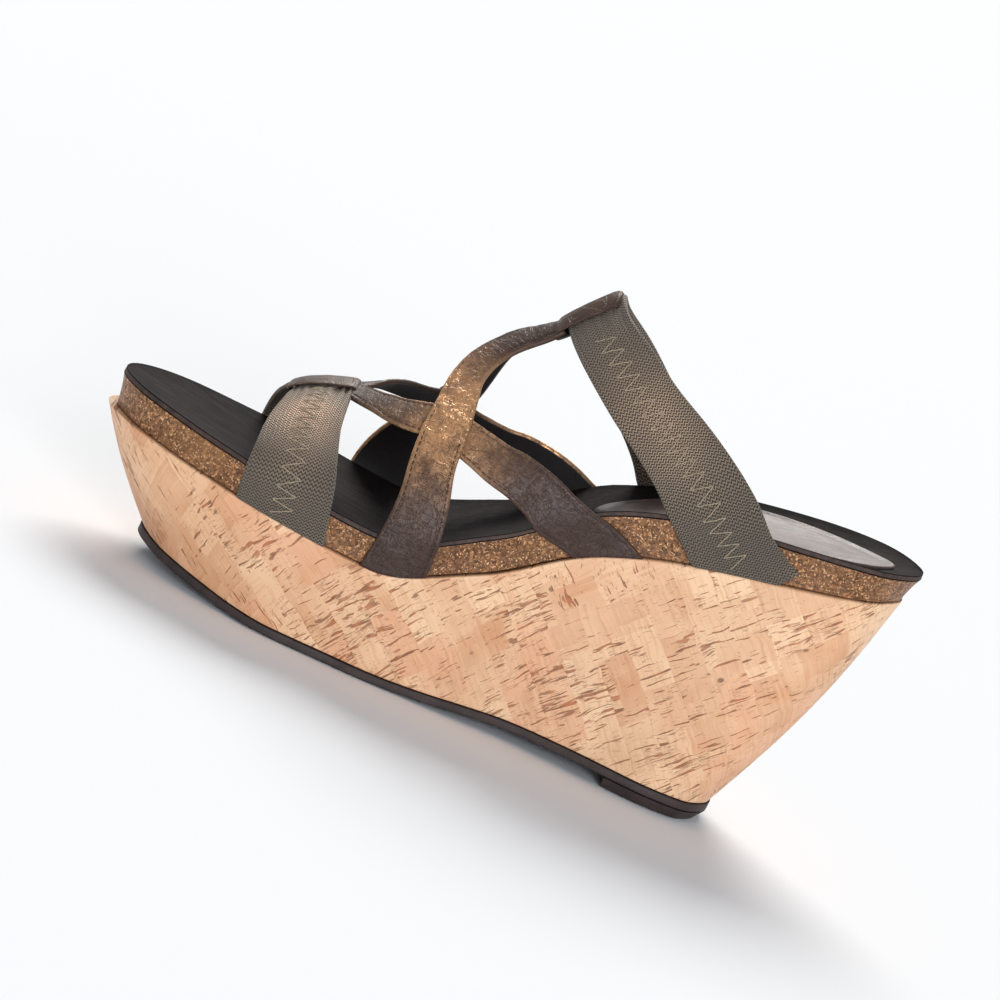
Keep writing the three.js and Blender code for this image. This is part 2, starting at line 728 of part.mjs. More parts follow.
// The origin is the middle of the footprint, on the floor
const extent = new THREE.Box3().setFromObject(sandal, true);
const middle = extent.getCenter(new THREE.Vector3());
sandal.position.set(-middle.x, -middle.y, -extent.min.z);

export default sandal;
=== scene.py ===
# %% [markdown]
# # A platform wedge sandal
# A cork-covered wedge carries a thin bronze cork midsole and a dished leather footbed.
# Leather straps cross over the foot and loop round two elastic bands.
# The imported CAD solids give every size, and this file dresses them.

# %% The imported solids
import math

import bmesh
import bpy
from mathutils import Matrix, Vector, noise


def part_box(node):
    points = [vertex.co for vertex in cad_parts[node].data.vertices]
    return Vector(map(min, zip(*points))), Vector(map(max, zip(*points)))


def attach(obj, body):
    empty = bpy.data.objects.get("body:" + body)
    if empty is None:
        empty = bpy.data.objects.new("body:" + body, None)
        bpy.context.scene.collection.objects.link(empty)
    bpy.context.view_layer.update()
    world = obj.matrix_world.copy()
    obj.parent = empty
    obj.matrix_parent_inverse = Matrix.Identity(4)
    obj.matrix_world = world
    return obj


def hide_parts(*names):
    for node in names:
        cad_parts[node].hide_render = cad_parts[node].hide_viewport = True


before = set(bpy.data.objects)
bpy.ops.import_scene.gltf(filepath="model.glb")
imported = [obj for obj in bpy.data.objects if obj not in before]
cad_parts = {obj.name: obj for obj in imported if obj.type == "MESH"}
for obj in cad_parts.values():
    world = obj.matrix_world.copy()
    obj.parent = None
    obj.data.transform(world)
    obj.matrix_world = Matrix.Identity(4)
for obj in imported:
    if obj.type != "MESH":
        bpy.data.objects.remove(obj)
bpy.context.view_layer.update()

# %% [markdown]
# ## The form of the last
# Every skin of the sandal follows the same tables as the CAD solids,
# so that a strap lies where its solid lies.
# The solids could be copied instead, but their facets are coarse
# and they hold no direction along a strap.
# So the tables are repeated here in millimetres, and each piece samples them as finely as it needs.

# %% Smooth curves through a table
MM = 0.001
TAU = 2 * math.pi


def curve_through(ats, values):
    """A curve through a table that never swings past its values."""
    last = len(ats) - 1
    chord = [(values[i + 1] - values[i]) / (ats[i + 1] - ats[i]) for i in range(last)]
    slope = [chord[0]]
    for before, after in zip(chord, chord[1:]):
        slope.append(2 * before * after / (before + after) if before * after > 0 else 0.0)
    slope.append(chord[-1])

    def read(at):
        x = min(max(at, ats[0]), ats[last])
        i = 0
        while i < last - 1 and x > ats[i + 1]:
            i += 1
        span = ats[i + 1] - ats[i]
        t = (x - ats[i]) / span
        rise = values[i + 1] - values[i]
        bend = (1 - t) * (slope[i] * span - rise) - t * (slope[i + 1] * span - rise)
        return values[i] + t * rise + t * (1 - t) * bend

    return read


def table(*rows):
    """A curve through rows of (share along the foot, value)."""
    return curve_through([r[0] for r in rows], [r[1] for r in rows])


def turn_of(along):
    """Rows crowd towards toe and heel, as the angle of a half turn does."""
    return math.acos(1 - 2 * min(max(along, 0.0), 1.0))


def along_of(turn):
    return (1 - math.cos(turn)) / 2


# %% Tables of the footbed and the sole
FOOTBED_LENGTH = 246.0
BALL_WIDTH, HEEL_WIDTH = 86.0, 57.0
BALL_RIM, TOE_RISE, HEEL_RISE = 43.6, 6.6, 55.4
INSOLE, PAD, SEAM = 1.8, 0.9, 0.3
OUTSOLE, LIFT = 2.6, 3.4
OUTSOLE_PROUD = 0.5
TOE_SETBACK, HEEL_SETBACK = 19.0, 23.5

# share along, inner and outer half widths, toe rise, heel rise inside and outside
FOOTBED = [
    (0.0, 0.053, -0.053, 1.0, 0.0, 0.0),
    (0.015, 0.19, 0.115, 0.97, 0.0, 0.0),
    (0.06, 0.326, 0.263, 0.88, 0.0, 0.0),
    (0.14, 0.419, 0.395, 0.62, 0.0, 0.0),
    (0.26, 0.488, 0.498, 0.3, 0.0, 0.0),
    (0.38, 0.463, 0.519, 0.0, 0.01, 0.005),
    (0.5, 0.428, 0.516, 0.0, 0.26, 0.22),
    (0.62, 0.427, 0.528, 0.0, 0.645, 0.605),
    (0.74, 0.453, 0.519, 0.0, 0.82, 0.82),
    (0.86, 0.496, 0.502, 0.0, 0.92, 0.935),
    (0.94, 0.435, 0.426, 0.0, 0.97, 0.985),
    (0.985, 0.246, 0.235, 0.0, 0.995, 1.0),
    (1.0, 0.01, -0.01, 0.0, 1.0, 1.0),
]
column = lambda k: [row[k] for row in FOOTBED]
inner_share = curve_through([turn_of(a) for a in column(0)], column(1))
outer_share = curve_through([turn_of(a) for a in column(0)], column(2))
toe_share = curve_through(column(0), column(3))
heel_share_inner = curve_through(column(0), column(4))
heel_share_outer = curve_through(column(0), column(5))
cup_depth = table((0, 2.2), (0.3, 3), (0.58, 4.5), (0.85, 6), (1, 6))
midsole_height = table((0, 11.2), (0.36, 10.6), (0.62, 15), (1, 9.8))
midsole_foot = table((0, -2), (0.12, -0.4), (0.6, -0.6), (0.85, -0.6), (1, -2.6))
wedge_top = table((0, 0.8), (0.12, 1.6), (0.6, 1.4), (0.85, 1.4), (1, -2.1))
sole_inset = table((0, 5.6), (0.35, 5.4), (0.62, 2), (1, 3.8))
wall_swell = table((0, 1.5), (0.3, 0.8), (0.6, -0.6), (1, 3))
underside = table(
    (0, 6), (0.1, 3.3), (0.2, 0.72), (0.27, 0), (0.44, 0), (0.66, 3),
    (0.82, LIFT + SEAM), (1, LIFT + SEAM),
)
crown_share = table(
    (0, 0.02), (0.08, 0.045), (0.16, 0.165), (0.224, 0.3), (0.286, 0.385), (0.34, 0.53),
    (0.39, 0.715), (0.43, 0.825), (0.467, 0.91), (0.49, 1.0), (0.513, 1.085), (0.56, 1.265),
    (0.62, 1.475), (0.7, 1.71), (0.9, 2.25),
)
fullness = table((0.22, 1.7), (0.42, 1.4))
CROWN_HEIGHT = 124.0


# %% Outlines and skins of the sole, side -1 inside the foot and +1 outside it
def width_at(along):
    t = min(max((along - 0.4) / 0.3, 0.0), 1.0)
    return BALL_WIDTH + (HEEL_WIDTH - BALL_WIDTH) * t * t * (3 - 2 * t)


def rim_y(turn, side):
    share = inner_share(turn) if side < 0 else outer_share(turn)
    return side * share * width_at(along_of(turn))


def rim_height(along, side):
    inner, outer = heel_share_inner(along), heel_share_outer(along)
    heel = inner + (outer - inner) * (side + 1) / 2
    return BALL_RIM + toe_share(along) * TOE_RISE + heel * HEEL_RISE


def outward_at(turn, side):
    """Direction in plan that points out of the rim."""
    if turn <= 0 or turn >= math.pi:
        return Vector((-1 if turn <= 0 else 1, 0, 0))
    a, b = max(turn - 0.004, 0), min(turn + 0.004, math.pi)
    dx = (along_of(b) - along_of(a)) * FOOTBED_LENGTH
    dy = rim_y(b, side) - rim_y(a, side)
    return Vector((-side * dy, side * dx, 0)).normalized()


def outline_point(turn, side, offset, z):
    x = (along_of(turn) - 0.5) * FOOTBED_LENGTH
    return Vector((x, rim_y(turn, side), z)) + outward_at(turn, side) * offset


def sole_point(turn, side, proud, z):
    along = along_of(turn)
    toe_end = -FOOTBED_LENGTH / 2 + TOE_SETBACK
    heel_end = FOOTBED_LENGTH / 2 - HEEL_SETBACK
    x = toe_end + (heel_end - toe_end) * along
    offset = proud - sole_inset(along)
    return Vector((x, rim_y(turn, side), z)) + outward_at(turn, side) * offset


def span(edge, turn, across, sag=0.0):
    """A point of a skin stretched between its inner and outer edges."""
    point = edge(turn, -1).lerp(edge(turn, 1), (across + 1) / 2)
    point.z -= sag
    return point


def foot_surface(turn, across, depth=0.0):
    along = along_of(turn)
    sag = cup_depth(along) * (1 - abs(across) ** 3) * math.sin(turn)
    return span(lambda t, s: outline_point(t, s, 0, rim_height(along, s) - depth), turn, across, sag)


def midsole_underside(turn, across):
    along = along_of(turn)
    drop, foot = midsole_height(along), midsole_foot(along)
    return span(lambda t, s: outline_point(t, s, foot, rim_height(along, s) - drop), turn, across)


def wedge_top_surface(turn, across):
    along = along_of(turn)
    drop, out = midsole_height(along) + SEAM, wedge_top(along)
    return span(lambda t, s: outline_point(t, s, out, rim_height(along, s) - drop), turn, across)


def sole_surface(turn, across, proud, height):
    z = underside(along_of(turn)) + height
    return span(lambda t, s: sole_point(t, s, proud, z), turn, across)


# %% The form under the straps: across is -1 and +1 at the rim, 0 at the crown of the foot
WALL_REACH = 0.25
PAST = 1 + WALL_REACH * 1.4


def form_point(along, across):
    side = -1 if across < 0 else 1
    turn, reach = turn_of(along), abs(across)
    rim = outline_point(turn, side, 0, rim_height(along, side))
    if reach > 1:
        return rim.lerp(midsole_underside(turn, side), (reach - 1) / WALL_REACH)
    bend, n = reach * math.pi / 2, fullness(along)
    stretch = (math.sin(bend) ** n + math.cos(bend) ** n) ** (-1 / n)
    crown = BALL_RIM + crown_share(along) * (CROWN_HEIGHT - BALL_RIM)
    y = rim.y * math.sin(bend) * stretch
    return Vector((rim.x, y, rim.z + (crown - rim.z) * math.cos(bend) * stretch))


def form_frame(along, across, step=0.003):
    """Directions in which along and across run, and the way out of the form."""
    ahead = (form_point(along + step, across) - form_point(along - step, across)) / (2 * step)
    aside = (form_point(along, across + step) - form_point(along, across - step)) / (2 * step)
    return ahead, aside, ahead.cross(aside).normalized()


def stepped(along, across, move):
    """The place on the form that a short move from a place leads to."""
    ahead, aside, _ = form_frame(along, across)
    aa, ab, bb = ahead.dot(ahead), ahead.dot(aside), aside.dot(aside)
    ma, mb = ahead.dot(move), aside.dot(move)
    det = aa * bb - ab * ab
    return along + (ma * bb - mb * ab) / det, across + (mb * aa - ma * ab) / det


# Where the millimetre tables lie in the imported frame
solid_low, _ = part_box("insole")
low_edge = min(rim_y(math.pi * i / 38, -1) for i in range(39))
SHIFT = Vector((solid_low.x / MM + FOOTBED_LENGTH / 2, solid_low.y / MM - low_edge, 0))
print("tables moved by", [round(v, 2) for v in SHIFT], "mm")


def metres(point):
    """A point of the tables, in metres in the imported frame."""
    return (point + SHIFT) * MM


# %% [markdown]
# ## Camera
# The sandal was seen from its inner side, a little from above, with the camera rolled.
# The camera keeps that distance, angle and roll,
# and turns to hold the one sandal in the middle of the frame.

# %% Camera
CAMERA_AZIMUTH, CAMERA_ELEVATION, CAMERA_ROLL = (math.radians(v) for v in (-1.44, 8.21, -26.1))
CAMERA_DISTANCE, CAMERA_SIDE, CAMERA_RISE = 1273.6, 18.9, 56.89
STOOD_ROUND, AIM_POINT = Vector((0, 0, 45)), Vector((-3.0, -6.0, 63.0))
LENS_MM, SENSOR_MM = 149.6, 36.0

back = Vector((
    math.sin(CAMERA_AZIMUTH) * math.cos(CAMERA_ELEVATION),
    -math.cos(CAMERA_AZIMUTH) * math.cos(CAMERA_ELEVATION),
    math.sin(CAMERA_ELEVATION),
))
level = Vector((math.cos(CAMERA_AZIMUTH), math.sin(CAMERA_AZIMUTH), 0))
upright = back.cross(level)
right = level * math.cos(CAMERA_ROLL) - upright * math.sin(CAMERA_ROLL)
up = level * math.sin(CAMERA_ROLL) + upright * math.cos(CAMERA_ROLL)
eye = metres(STOOD_ROUND + back * CAMERA_DISTANCE + right * CAMERA_SIDE + up * CAMERA_RISE)
back = (eye - metres(AIM_POINT)).normalized()
right = (right - back * right.dot(back)).normalized()
up = back.cross(right)
camera_data = bpy.data.cameras.new("camera")
camera_data.lens, camera_data.sensor_width = LENS_MM, SENSOR_MM
camera_data.clip_start, camera_data.clip_end = 0.05, 50
camera = bpy.data.objects.new("camera", camera_data)
camera.matrix_world = Matrix.Translation(eye) @ Matrix((right, up, back)).transposed().to_4x4()
bpy.context.scene.collection.objects.link(camera)
bpy.context.scene.camera = camera
print("camera at", [round(v, 3) for v in eye])

# %% [markdown]
# ## Meshes from grids
# Each piece starts as a flat grid whose points are moved onto the form,
# as a sheet is pulled over a last.
# Its seam is welded and its open ends are filled.
# The flat grid stays behind as the map of the surface in millimetres.

# %% Pieces and closed skins
WELD, SLIVER = 0.02 * MM, 0.01 * MM


def piece_of(name, mesh, looks):
    """An object that moves with the one body."""
    for look in looks:
        mesh.materials.append(look)
    piece = bpy.data.objects.new(name, mesh)
    bpy.context.scene.collection.objects.link(piece)
    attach(piece, "root")
    print(name, len(mesh.polygons), "faces")
    return piece


def skin(name, rows, columns, place, flat, looks, look_of=None):
    """A grid of rows by columns, moved to place(i, j) and mapped to flat(i, j), welded and closed."""
    bm = bmesh.new()
    uv = bm.loops.layers.uv.new("flat")
    bmesh.ops.create_grid(bm, x_segments=columns, y_segments=rows, size=1)
    bm.verts.ensure_lookup_table()
    cell = {}
    for vert in bm.verts:
        j = round((vert.co.x + 1) / 2 * columns)
        i = round((vert.co.y + 1) / 2 * rows)
        cell[vert.index] = (i, j)
    for face in bm.faces:
        for loop in face.loops:
            loop[uv].uv = flat(*cell[loop.vert.index])
        i = min(cell[v.index][0] for v in face.verts)
        j = min(cell[v.index][1] for v in face.verts)
        face.material_index = look_of(i, j) if look_of else 0
        face.smooth = True
    for vert in bm.verts:
        vert.co = metres(place(*cell[vert.index]))
    bmesh.ops.remove_doubles(bm, verts=bm.verts, dist=WELD)
    bmesh.ops.dissolve_degenerate(bm, edges=bm.edges, dist=SLIVER)
    bmesh.ops.holes_fill(bm, edges=[e for e in bm.edges if e.is_boundary], sides=0)
    bmesh.ops.recalc_face_normals(bm, faces=bm.faces)
    if bm.calc_volume(signed=True) < 0:
        bmesh.ops.reverse_faces(bm, faces=bm.faces)
    print(name, sum(not e.is_manifold for e in bm.edges), "edges not shared by two faces")
    mesh = bpy.data.meshes.new(name)
    bm.to_mesh(mesh)
    bm.free()
    return piece_of(name, mesh, looks)


# %% Threads, a bead of yarn through each list of points
def threads(name, runs, radius, look):
    """Round yarn through runs of points in millimetres, as one mesh."""
    curve = bpy.data.curves.new(name, "CURVE")
    curve.dimensions = "3D"
    curve.bevel_depth = radius * MM
    curve.bevel_resolution = 1
    curve.use_fill_caps = True
    for run in runs:
        spline = curve.splines.new("POLY")
        spline.points.add(len(run) - 1)
        for knot, point in zip(spline.points, run):
            knot.co = (*metres(point), 1)
    holder = bpy.data.objects.new(name, curve)
    mesh = bpy.data.meshes.new_from_object(holder)
    mesh.name = name
    bpy.data.objects.remove(holder)
    mesh.polygons.foreach_set("use_smooth", [True] * len(mesh.polygons))
    print(name, len(runs), "stitches")
    return piece_of(name, mesh, [look])


# %% [markdown]
# ## Finishes
# A finish is a small tree of nodes.
# One function adds a node, sets it and links it, so each tree reads as a recipe.
# Colours are written as on a paint card, in sRGB hex, and turned to linear values.

# %% Helpers for finishes
def linear(code):
    """An sRGB hex colour as linear RGBA."""
    parts = [int(code[k : k + 2], 16) / 255 for k in (1, 3, 5)]
    return (*[c / 12.92 if c <= 0.04045 else ((c + 0.055) / 1.055) ** 2.4 for c in parts], 1)


def fill(node, sockets):
    """Fills sockets, by name or by their order, with values, colours, nodes or outputs of nodes."""
    shown = [socket for socket in node.inputs if socket.enabled]
    for key, value in sockets.items():
        socket = shown[key] if isinstance(key, int) else node.inputs[key]
        if isinstance(value, str):
            value = linear(value)
        if isinstance(value, bpy.types.Node):
            value = next(output for output in value.outputs if output.enabled)
        if isinstance(value, bpy.types.NodeSocket):
            node.id_data.links.new(value, socket)
        else:
            socket.default_value = value


def add(tree, kind, *values, sockets=(), **settings):
    """Adds a node with its settings and links. A second word in kind is its operation or data type."""
    kind, _, mode = kind.partition(" ")
    made = tree.nodes.new("ShaderNode" + kind)
    if mode:
        settings["operation" if hasattr(made, "operation") else "data_type"] = mode
    for name, value in settings.items():
        setattr(made, name, value)
    fill(made, dict(enumerate(values)) | dict(sockets))
    return made


def finish_named(name):
    """A new material and its tree, with the flat map and the place in the object, in millimetres."""
    look = bpy.data.materials.new(name)
    look.use_nodes = True
    tree = look.node_tree
    flat = add(tree, "UVMap", uv_map="flat")
    in_metres = add(tree, "TexCoord").outputs["Object"]
    return look, tree, flat, add(tree, "Mapping", in_metres, sockets={"Scale": (1000, 1000, 1000)})


def sealed(look, base, height, depth, strength, sockets):
    """Ends a recipe with its colour, its relief in millimetres and the shader's other sockets."""
    tree = look.node_tree
    relief = add(tree, "Bump", sockets={"Height": height, "Distance": depth * MM, "Strength": strength})
    fill(tree.nodes["Principled BSDF"], {"Base Color": base, "Normal": relief, **sockets})
    return look


# %% [markdown]
# ### Natural cork sheet
# Thin slices of cork bark are glued in rows to a cloth and sealed with a satin varnish.
# The eye finds small blocks of slightly different tan, fine growth lines,
# and short dark pores that all run one way in a block.
# Brick patterns give strips 9.6 mm wide, cut every 24 mm, and slices of 15 by 12 mm within them.
# Stretched noise gives the lines and the pores.

# %% Cork sheet
def make_cork_sheet():
    look, tree, flat, place = finish_named("cork sheet, varnished")
    wavy = add(tree, "TexNoise", flat, 0.13, 1.0).outputs["Color"]
    drift = add(tree, "VectorMath MULTIPLY", wavy, (2.2, 2.2, 0))
    sheet = add(tree, "VectorMath ADD", flat, drift)

    def blocks(width, height, turn, move, offset=0.37):
        """A random value for each block of a brick pattern."""
        turned = add(tree, "Mapping", sheet, move, (0, 0, turn))
        sockets = {
            "Color1": (0, 0, 0, 1), "Color2": (1, 1, 1, 1), "Scale": 1.0, "Mortar Size": 0.0,
            "Brick Width": width, "Row Height": height,
        }
        return add(tree, "TexBrick", turned, sockets=sockets, offset=offset)

    strips = blocks(24.0, 9.6, math.pi / 2, (5, 7, 0))
    slices = blocks(15.0, 12.0, 0.0, (3, 2, 0))
    patches = blocks(47.0, 29.0, 0.0, (11, 17, 0), 0.6)
    jump = [add(tree, "Math MULTIPLY", strips, far) for far in (190.0, 83.0)]
    cell = add(tree, "VectorMath ADD", sheet, add(tree, "CombineXYZ", *jump))

    def two_ways(fine, coarse, move, detail):
        """Noise drawn out along the sheet, and the same drawn out across it."""
        for scale in ((coarse, fine, 1), (fine, coarse, 1)):
            drawn = add(tree, "Mapping", cell, move, (0, 0, 0), scale)
            yield add(tree, "TexNoise", drawn, 1.0, detail, 0.6, sockets={"Distortion": 0.3})

    toe_end = add(tree, "MapRange", add(tree, "SeparateXYZ", place), -90.0, -20.0, 0.42, 0.0)
    cross_grain = add(tree, "Math GREATER_THAN", add(tree, "Math ADD", patches, toe_end), 0.84)
    lines_along, lines_across = two_ways(1.2, 0.05, (0, 0, 0), 4.0)
    lines = add(tree, "Mix FLOAT", cross_grain, lines_across, lines_along)
    slice_tone = add(tree, "Math MULTIPLY", slices, 0.4)
    tone = add(tree, "Math ADD", add(tree, "Math MULTIPLY", strips, 0.6), slice_tone)
    rosy = add(tree, "Math MULTIPLY", add(tree, "Math GREATER_THAN", strips, 0.76), 0.6)
    cloud = add(tree, "TexNoise", flat, 0.06, 3.0)
    base = add(tree, "Mix RGBA", add(tree, "MapRange", tone, 0.2, 0.8), "#D39B72", "#F0C8A0")
    for share, colour in (
        (rosy, "#D6946C"),
        (add(tree, "MapRange", lines, 0.5, 0.75, 0.0, 0.55), "#B27A50"),
        (add(tree, "MapRange", lines, 0.42, 0.2, 0.0, 0.5), "#F5D6B2"),
        (add(tree, "MapRange", cloud, 0.4, 0.7, 0.0, 0.35), "#F3D0AA"),
    ):
        base = add(tree, "Mix RGBA", share, base, colour)

    crowd = add(tree, "Math MULTIPLY", add(tree, "TexNoise", cell, 0.1, 1.0), 0.22)
    busy = add(tree, "Math MULTIPLY", slices, 0.09)
    sharp_at = add(tree, "Math SUBTRACT", add(tree, "Math SUBTRACT", 0.785, crowd), busy)

    def dashes(fine, coarse, move, ease):
        """Pores as dashes, denser in some blocks."""
        drawn = add(tree, "Mix FLOAT", cross_grain, *two_ways(fine, coarse, move, 2.0))
        over = add(tree, "Math SUBTRACT", add(tree, "Math ADD", drawn, ease), sharp_at)
        return add(tree, "MapRange", over, 0.0, 0.03)

    long_pores = dashes(0.8, 0.085, (40, 9, 0), 0.008)
    broad = add(tree, "Math MULTIPLY", dashes(0.5, 0.12, (70, 20, 0), -0.035), 0.85)
    specks = add(tree, "Math MULTIPLY", dashes(2.2, 0.3, (20, 60, 0), -0.01), 0.5)
    pores = add(tree, "Math MAXIMUM", add(tree, "Math MAXIMUM", long_pores, broad), specks)
    dots = add(tree, "TexVoronoi", sheet, 0.075)
    some = add(tree, "Math GREATER_THAN", dots.outputs["Color"], 0.62)
    pits = add(tree, "Math MULTIPLY", add(tree, "MapRange", dots, 0.045, 0.085, 1.0, 0.0), some)
    rust = add(tree, "MapRange", add(tree, "TexNoise", flat, 0.3), 0.42, 0.6)
    grime = add(tree, "TexNoise", place, 0.022, 4.0, 0.6)
    for share, colour in (
        (add(tree, "Math MULTIPLY", pores, 0.85), add(tree, "Mix RGBA", rust, "#7A4523", "#AE6038")),
        (add(tree, "Math MULTIPLY", pits, 0.75), "#5E3D24"),
        (add(tree, "MapRange", grime, 0.58, 0.8, 0.0, 0.3), "#93764F"),
    ):
        base = add(tree, "Mix RGBA", share, base, colour)
    grit = add(tree, "Math MULTIPLY", add(tree, "TexNoise", flat, 1.4, 3.0), 0.35)
    hollow = add(tree, "Math MULTIPLY", add(tree, "Math MAXIMUM", pores, pits), -1.0)
    return sealed(look, base, add(tree, "Math ADD", hollow, grit), 0.25, 0.8, {
        "Roughness": add(tree, "MapRange", lines, 0.3, 0.7, 0.5, 0.64),
        "Coat Weight": 0.1, "Coat Roughness": 0.35,
    })


CORK_SHEET = make_cork_sheet()
print("made", CORK_SHEET.name)

# %% [markdown]
# ### Bronze cork
# The midsole is pressed from crumbs of cork in a bronze-brown binder, then cut and sanded on its edge.
# Crumbs are cells of about a millimetre, each with its own brown, and some carry a metal glint.

# %% Bronze agglomerated cork
def make_bronze_cork():
    look, tree, _, place = finish_named("agglomerated cork, bronze")
    bent = add(tree, "VectorMath ADD", place, add(tree, "TexNoise", place, 0.8).outputs["Color"])
    tint, grain_tint = (
        add(tree, "SeparateColor", add(tree, "TexVoronoi", bent, scale).outputs["Color"]).outputs
        for scale in (1.15, 2.6)
    )
    wear = add(tree, "TexNoise", place, 0.05, 3.0)
    base = add(tree, "Mix RGBA", tint[0], "#5A381F", "#8C5E38")
    for value, low, high, most, colour in (
        (tint[1], 0.8, 0.92, 0.85, "#B47F52"),
        (grain_tint[0], 0.87, 0.93, 0.8, "#E0B384"),
        (grain_tint[1], 0.8, 0.86, 0.8, "#3E2816"),
        (wear, 0.45, 0.75, 0.35, "#A27548"),
    ):
        base = add(tree, "Mix RGBA", add(tree, "MapRange", value, low, high, 0, most), base, colour)
    height = add(tree, "Math ADD", tint[0], add(tree, "Math MULTIPLY", grain_tint[0], 0.5))
    return sealed(look, base, height, 0.12, 0.7, {
        "Metallic": add(tree, "MapRange", grain_tint[2], 0.7, 0.8, 0.1, 0.65),
        "Roughness": add(tree, "MapRange", tint[2], 0, 1, 0.36, 0.62),
    })


BRONZE_CORK = make_bronze_cork()
print("made", BRONZE_CORK.name)

# %% [markdown]
# ### Lustred strap leather
# Soft goat leather, dyed plum brown and rubbed with a bronze pearl finish
# that has cracked as it was lasted.
# Metal shows where the strap was rubbed, and that patch is also a painted highlight where light catches
# the strap.
# A painted highlight line runs along the folded edges, and the long crease ridges carry painted
# highlights, while the fine crease lines are darkened as painted shade, and brown stays near the sole.
# Two values are painted on the mesh: one says how much rubbed bronze and painted highlight there is,
# and fold is high along the folded edges.

# %% Strap leather and its lining
def make_strap_leather():
    look, tree, flat, place = finish_named("goat leather, bronze lustre")
    rub_and_highlight, fold = (add(tree, "Attribute", attribute_name=n).outputs["Fac"] for n in ("rub_and_highlight", "fold"))

    def wrinkles(turn, stretch, scale, width, distortion):
        """Thin lines where noise passes its middle value, as creases wander."""
        drawn = add(tree, "Mapping", flat, (0, 0, 0), (0, 0, turn), stretch)
        field = add(tree, "TexNoise", drawn, scale, sockets={"Distortion": distortion})
        off = add(tree, "Math ABSOLUTE", add(tree, "Math SUBTRACT", field, 0.5))
        return add(tree, "MapRange", off, 0.0, width, 1.0, 0.0)

    long_creases = wrinkles(0.7, (1, 0.4, 1), 0.34, 0.026, 1.6)
    # The fine creases are grooves in the relief, and their dark colour below is painted shade in the
    # crease lines.
    fine_creases = wrinkles(-0.5, (0.35, 1, 1), 0.6, 0.035, 1.2)
    patch = add(tree, "TexNoise", place, 0.16, 4.0, 0.6)
    patchy = add(tree, "MapRange", patch, 0.38, 0.62, 0.42, 1.25)
    # bronze is the rubbed bronze finish, and also a painted highlight where light catches the strap.
    bronze = add(tree, "Math MULTIPLY", rub_and_highlight, patchy, use_clamp=True)
    # A painted highlight on the long crease ridges, stronger over the bronze.
    crease_highlight_weight = add(tree, "Math ADD", add(tree, "Math MULTIPLY", bronze, 0.4), 0.04)
    # A painted highlight line along the folded edges, stronger where the strap is rubbed.
    edge_highlight_weight = add(tree, "Math ADD", add(tree, "Math MULTIPLY", rub_and_highlight, 0.85), 0.04)
    edge_highlight = add(tree, "Math MULTIPLY", fold, edge_highlight_weight)
    base = add(tree, "Mix RGBA", add(tree, "TexNoise", place, 0.35, 3.0), "#33241F", "#443029")
    # The layers paint bronze that is part finish and part painted highlight, painted highlights on crease
    # ridges, painted shade in the fine crease lines, and a painted highlight line along the folded edges.
    for share, colour in (
        (bronze, "#EBB283"),
        (add(tree, "Math MULTIPLY", long_creases, crease_highlight_weight), "#FFDDB4"),
        (add(tree, "Math MULTIPLY", fine_creases, 0.5), "#2F1E19"),
        (edge_highlight, "#C79C70"),
    ):
        base = add(tree, "Mix RGBA", share, base, colour)
    metal = add(tree, "Math MAXIMUM", bronze, edge_highlight)
    grain = add(tree, "MapRange", add(tree, "TexNoise", place, 0.9, 3.0), 0.3, 0.7, 0.4, 0.52)
    relief = add(tree, "Math ADD", long_creases, add(tree, "Math MULTIPLY", fine_creases, -0.5))
    relief = add(tree, "Math MULTIPLY", relief, add(tree, "MapRange", rub_and_highlight, 0, 0.6, 0.35, 1.0))
    height = add(tree, "Math ADD", relief, add(tree, "Math MULTIPLY", patch, 1.2))
    return sealed(look, base, height, 0.3, 1.0, {
        "Metallic": add(tree, "MapRange", metal, 0, 1, 0.08, 0.85),
        "Roughness": add(tree, "Math SUBTRACT", grain, add(tree, "Math MULTIPLY", bronze, 0.14)),
        "Specular IOR Level": 0.35,
    })


def make_lining():
    look, tree, _, place = finish_named("pigskin lining, black")
    base = add(tree, "Mix RGBA", add(tree, "TexNoise", place, 0.3, 4.0), "#141011", "#241D1E")
    return sealed(look, base, add(tree, "TexVoronoi", place, 1.3), 0.1, 0.5, {"Roughness": 0.6})


STRAP_LEATHER, LINING = make_strap_leather(), make_lining()
print("made", STRAP_LEATHER.name, "and", LINING.name)

# %% [markdown]
# ### Ribbed elastic
# Rubber threads are wrapped and woven with yarn, which stands in ribs along the band,
# each of small slanted stitches.
# A painted copper highlight lies on each band where it goes over the foot. Ribs are 1.3 mm apart.

# %% Elastic and yarns
RIB_PITCH, YARN_PITCH = 1.3, 1.05


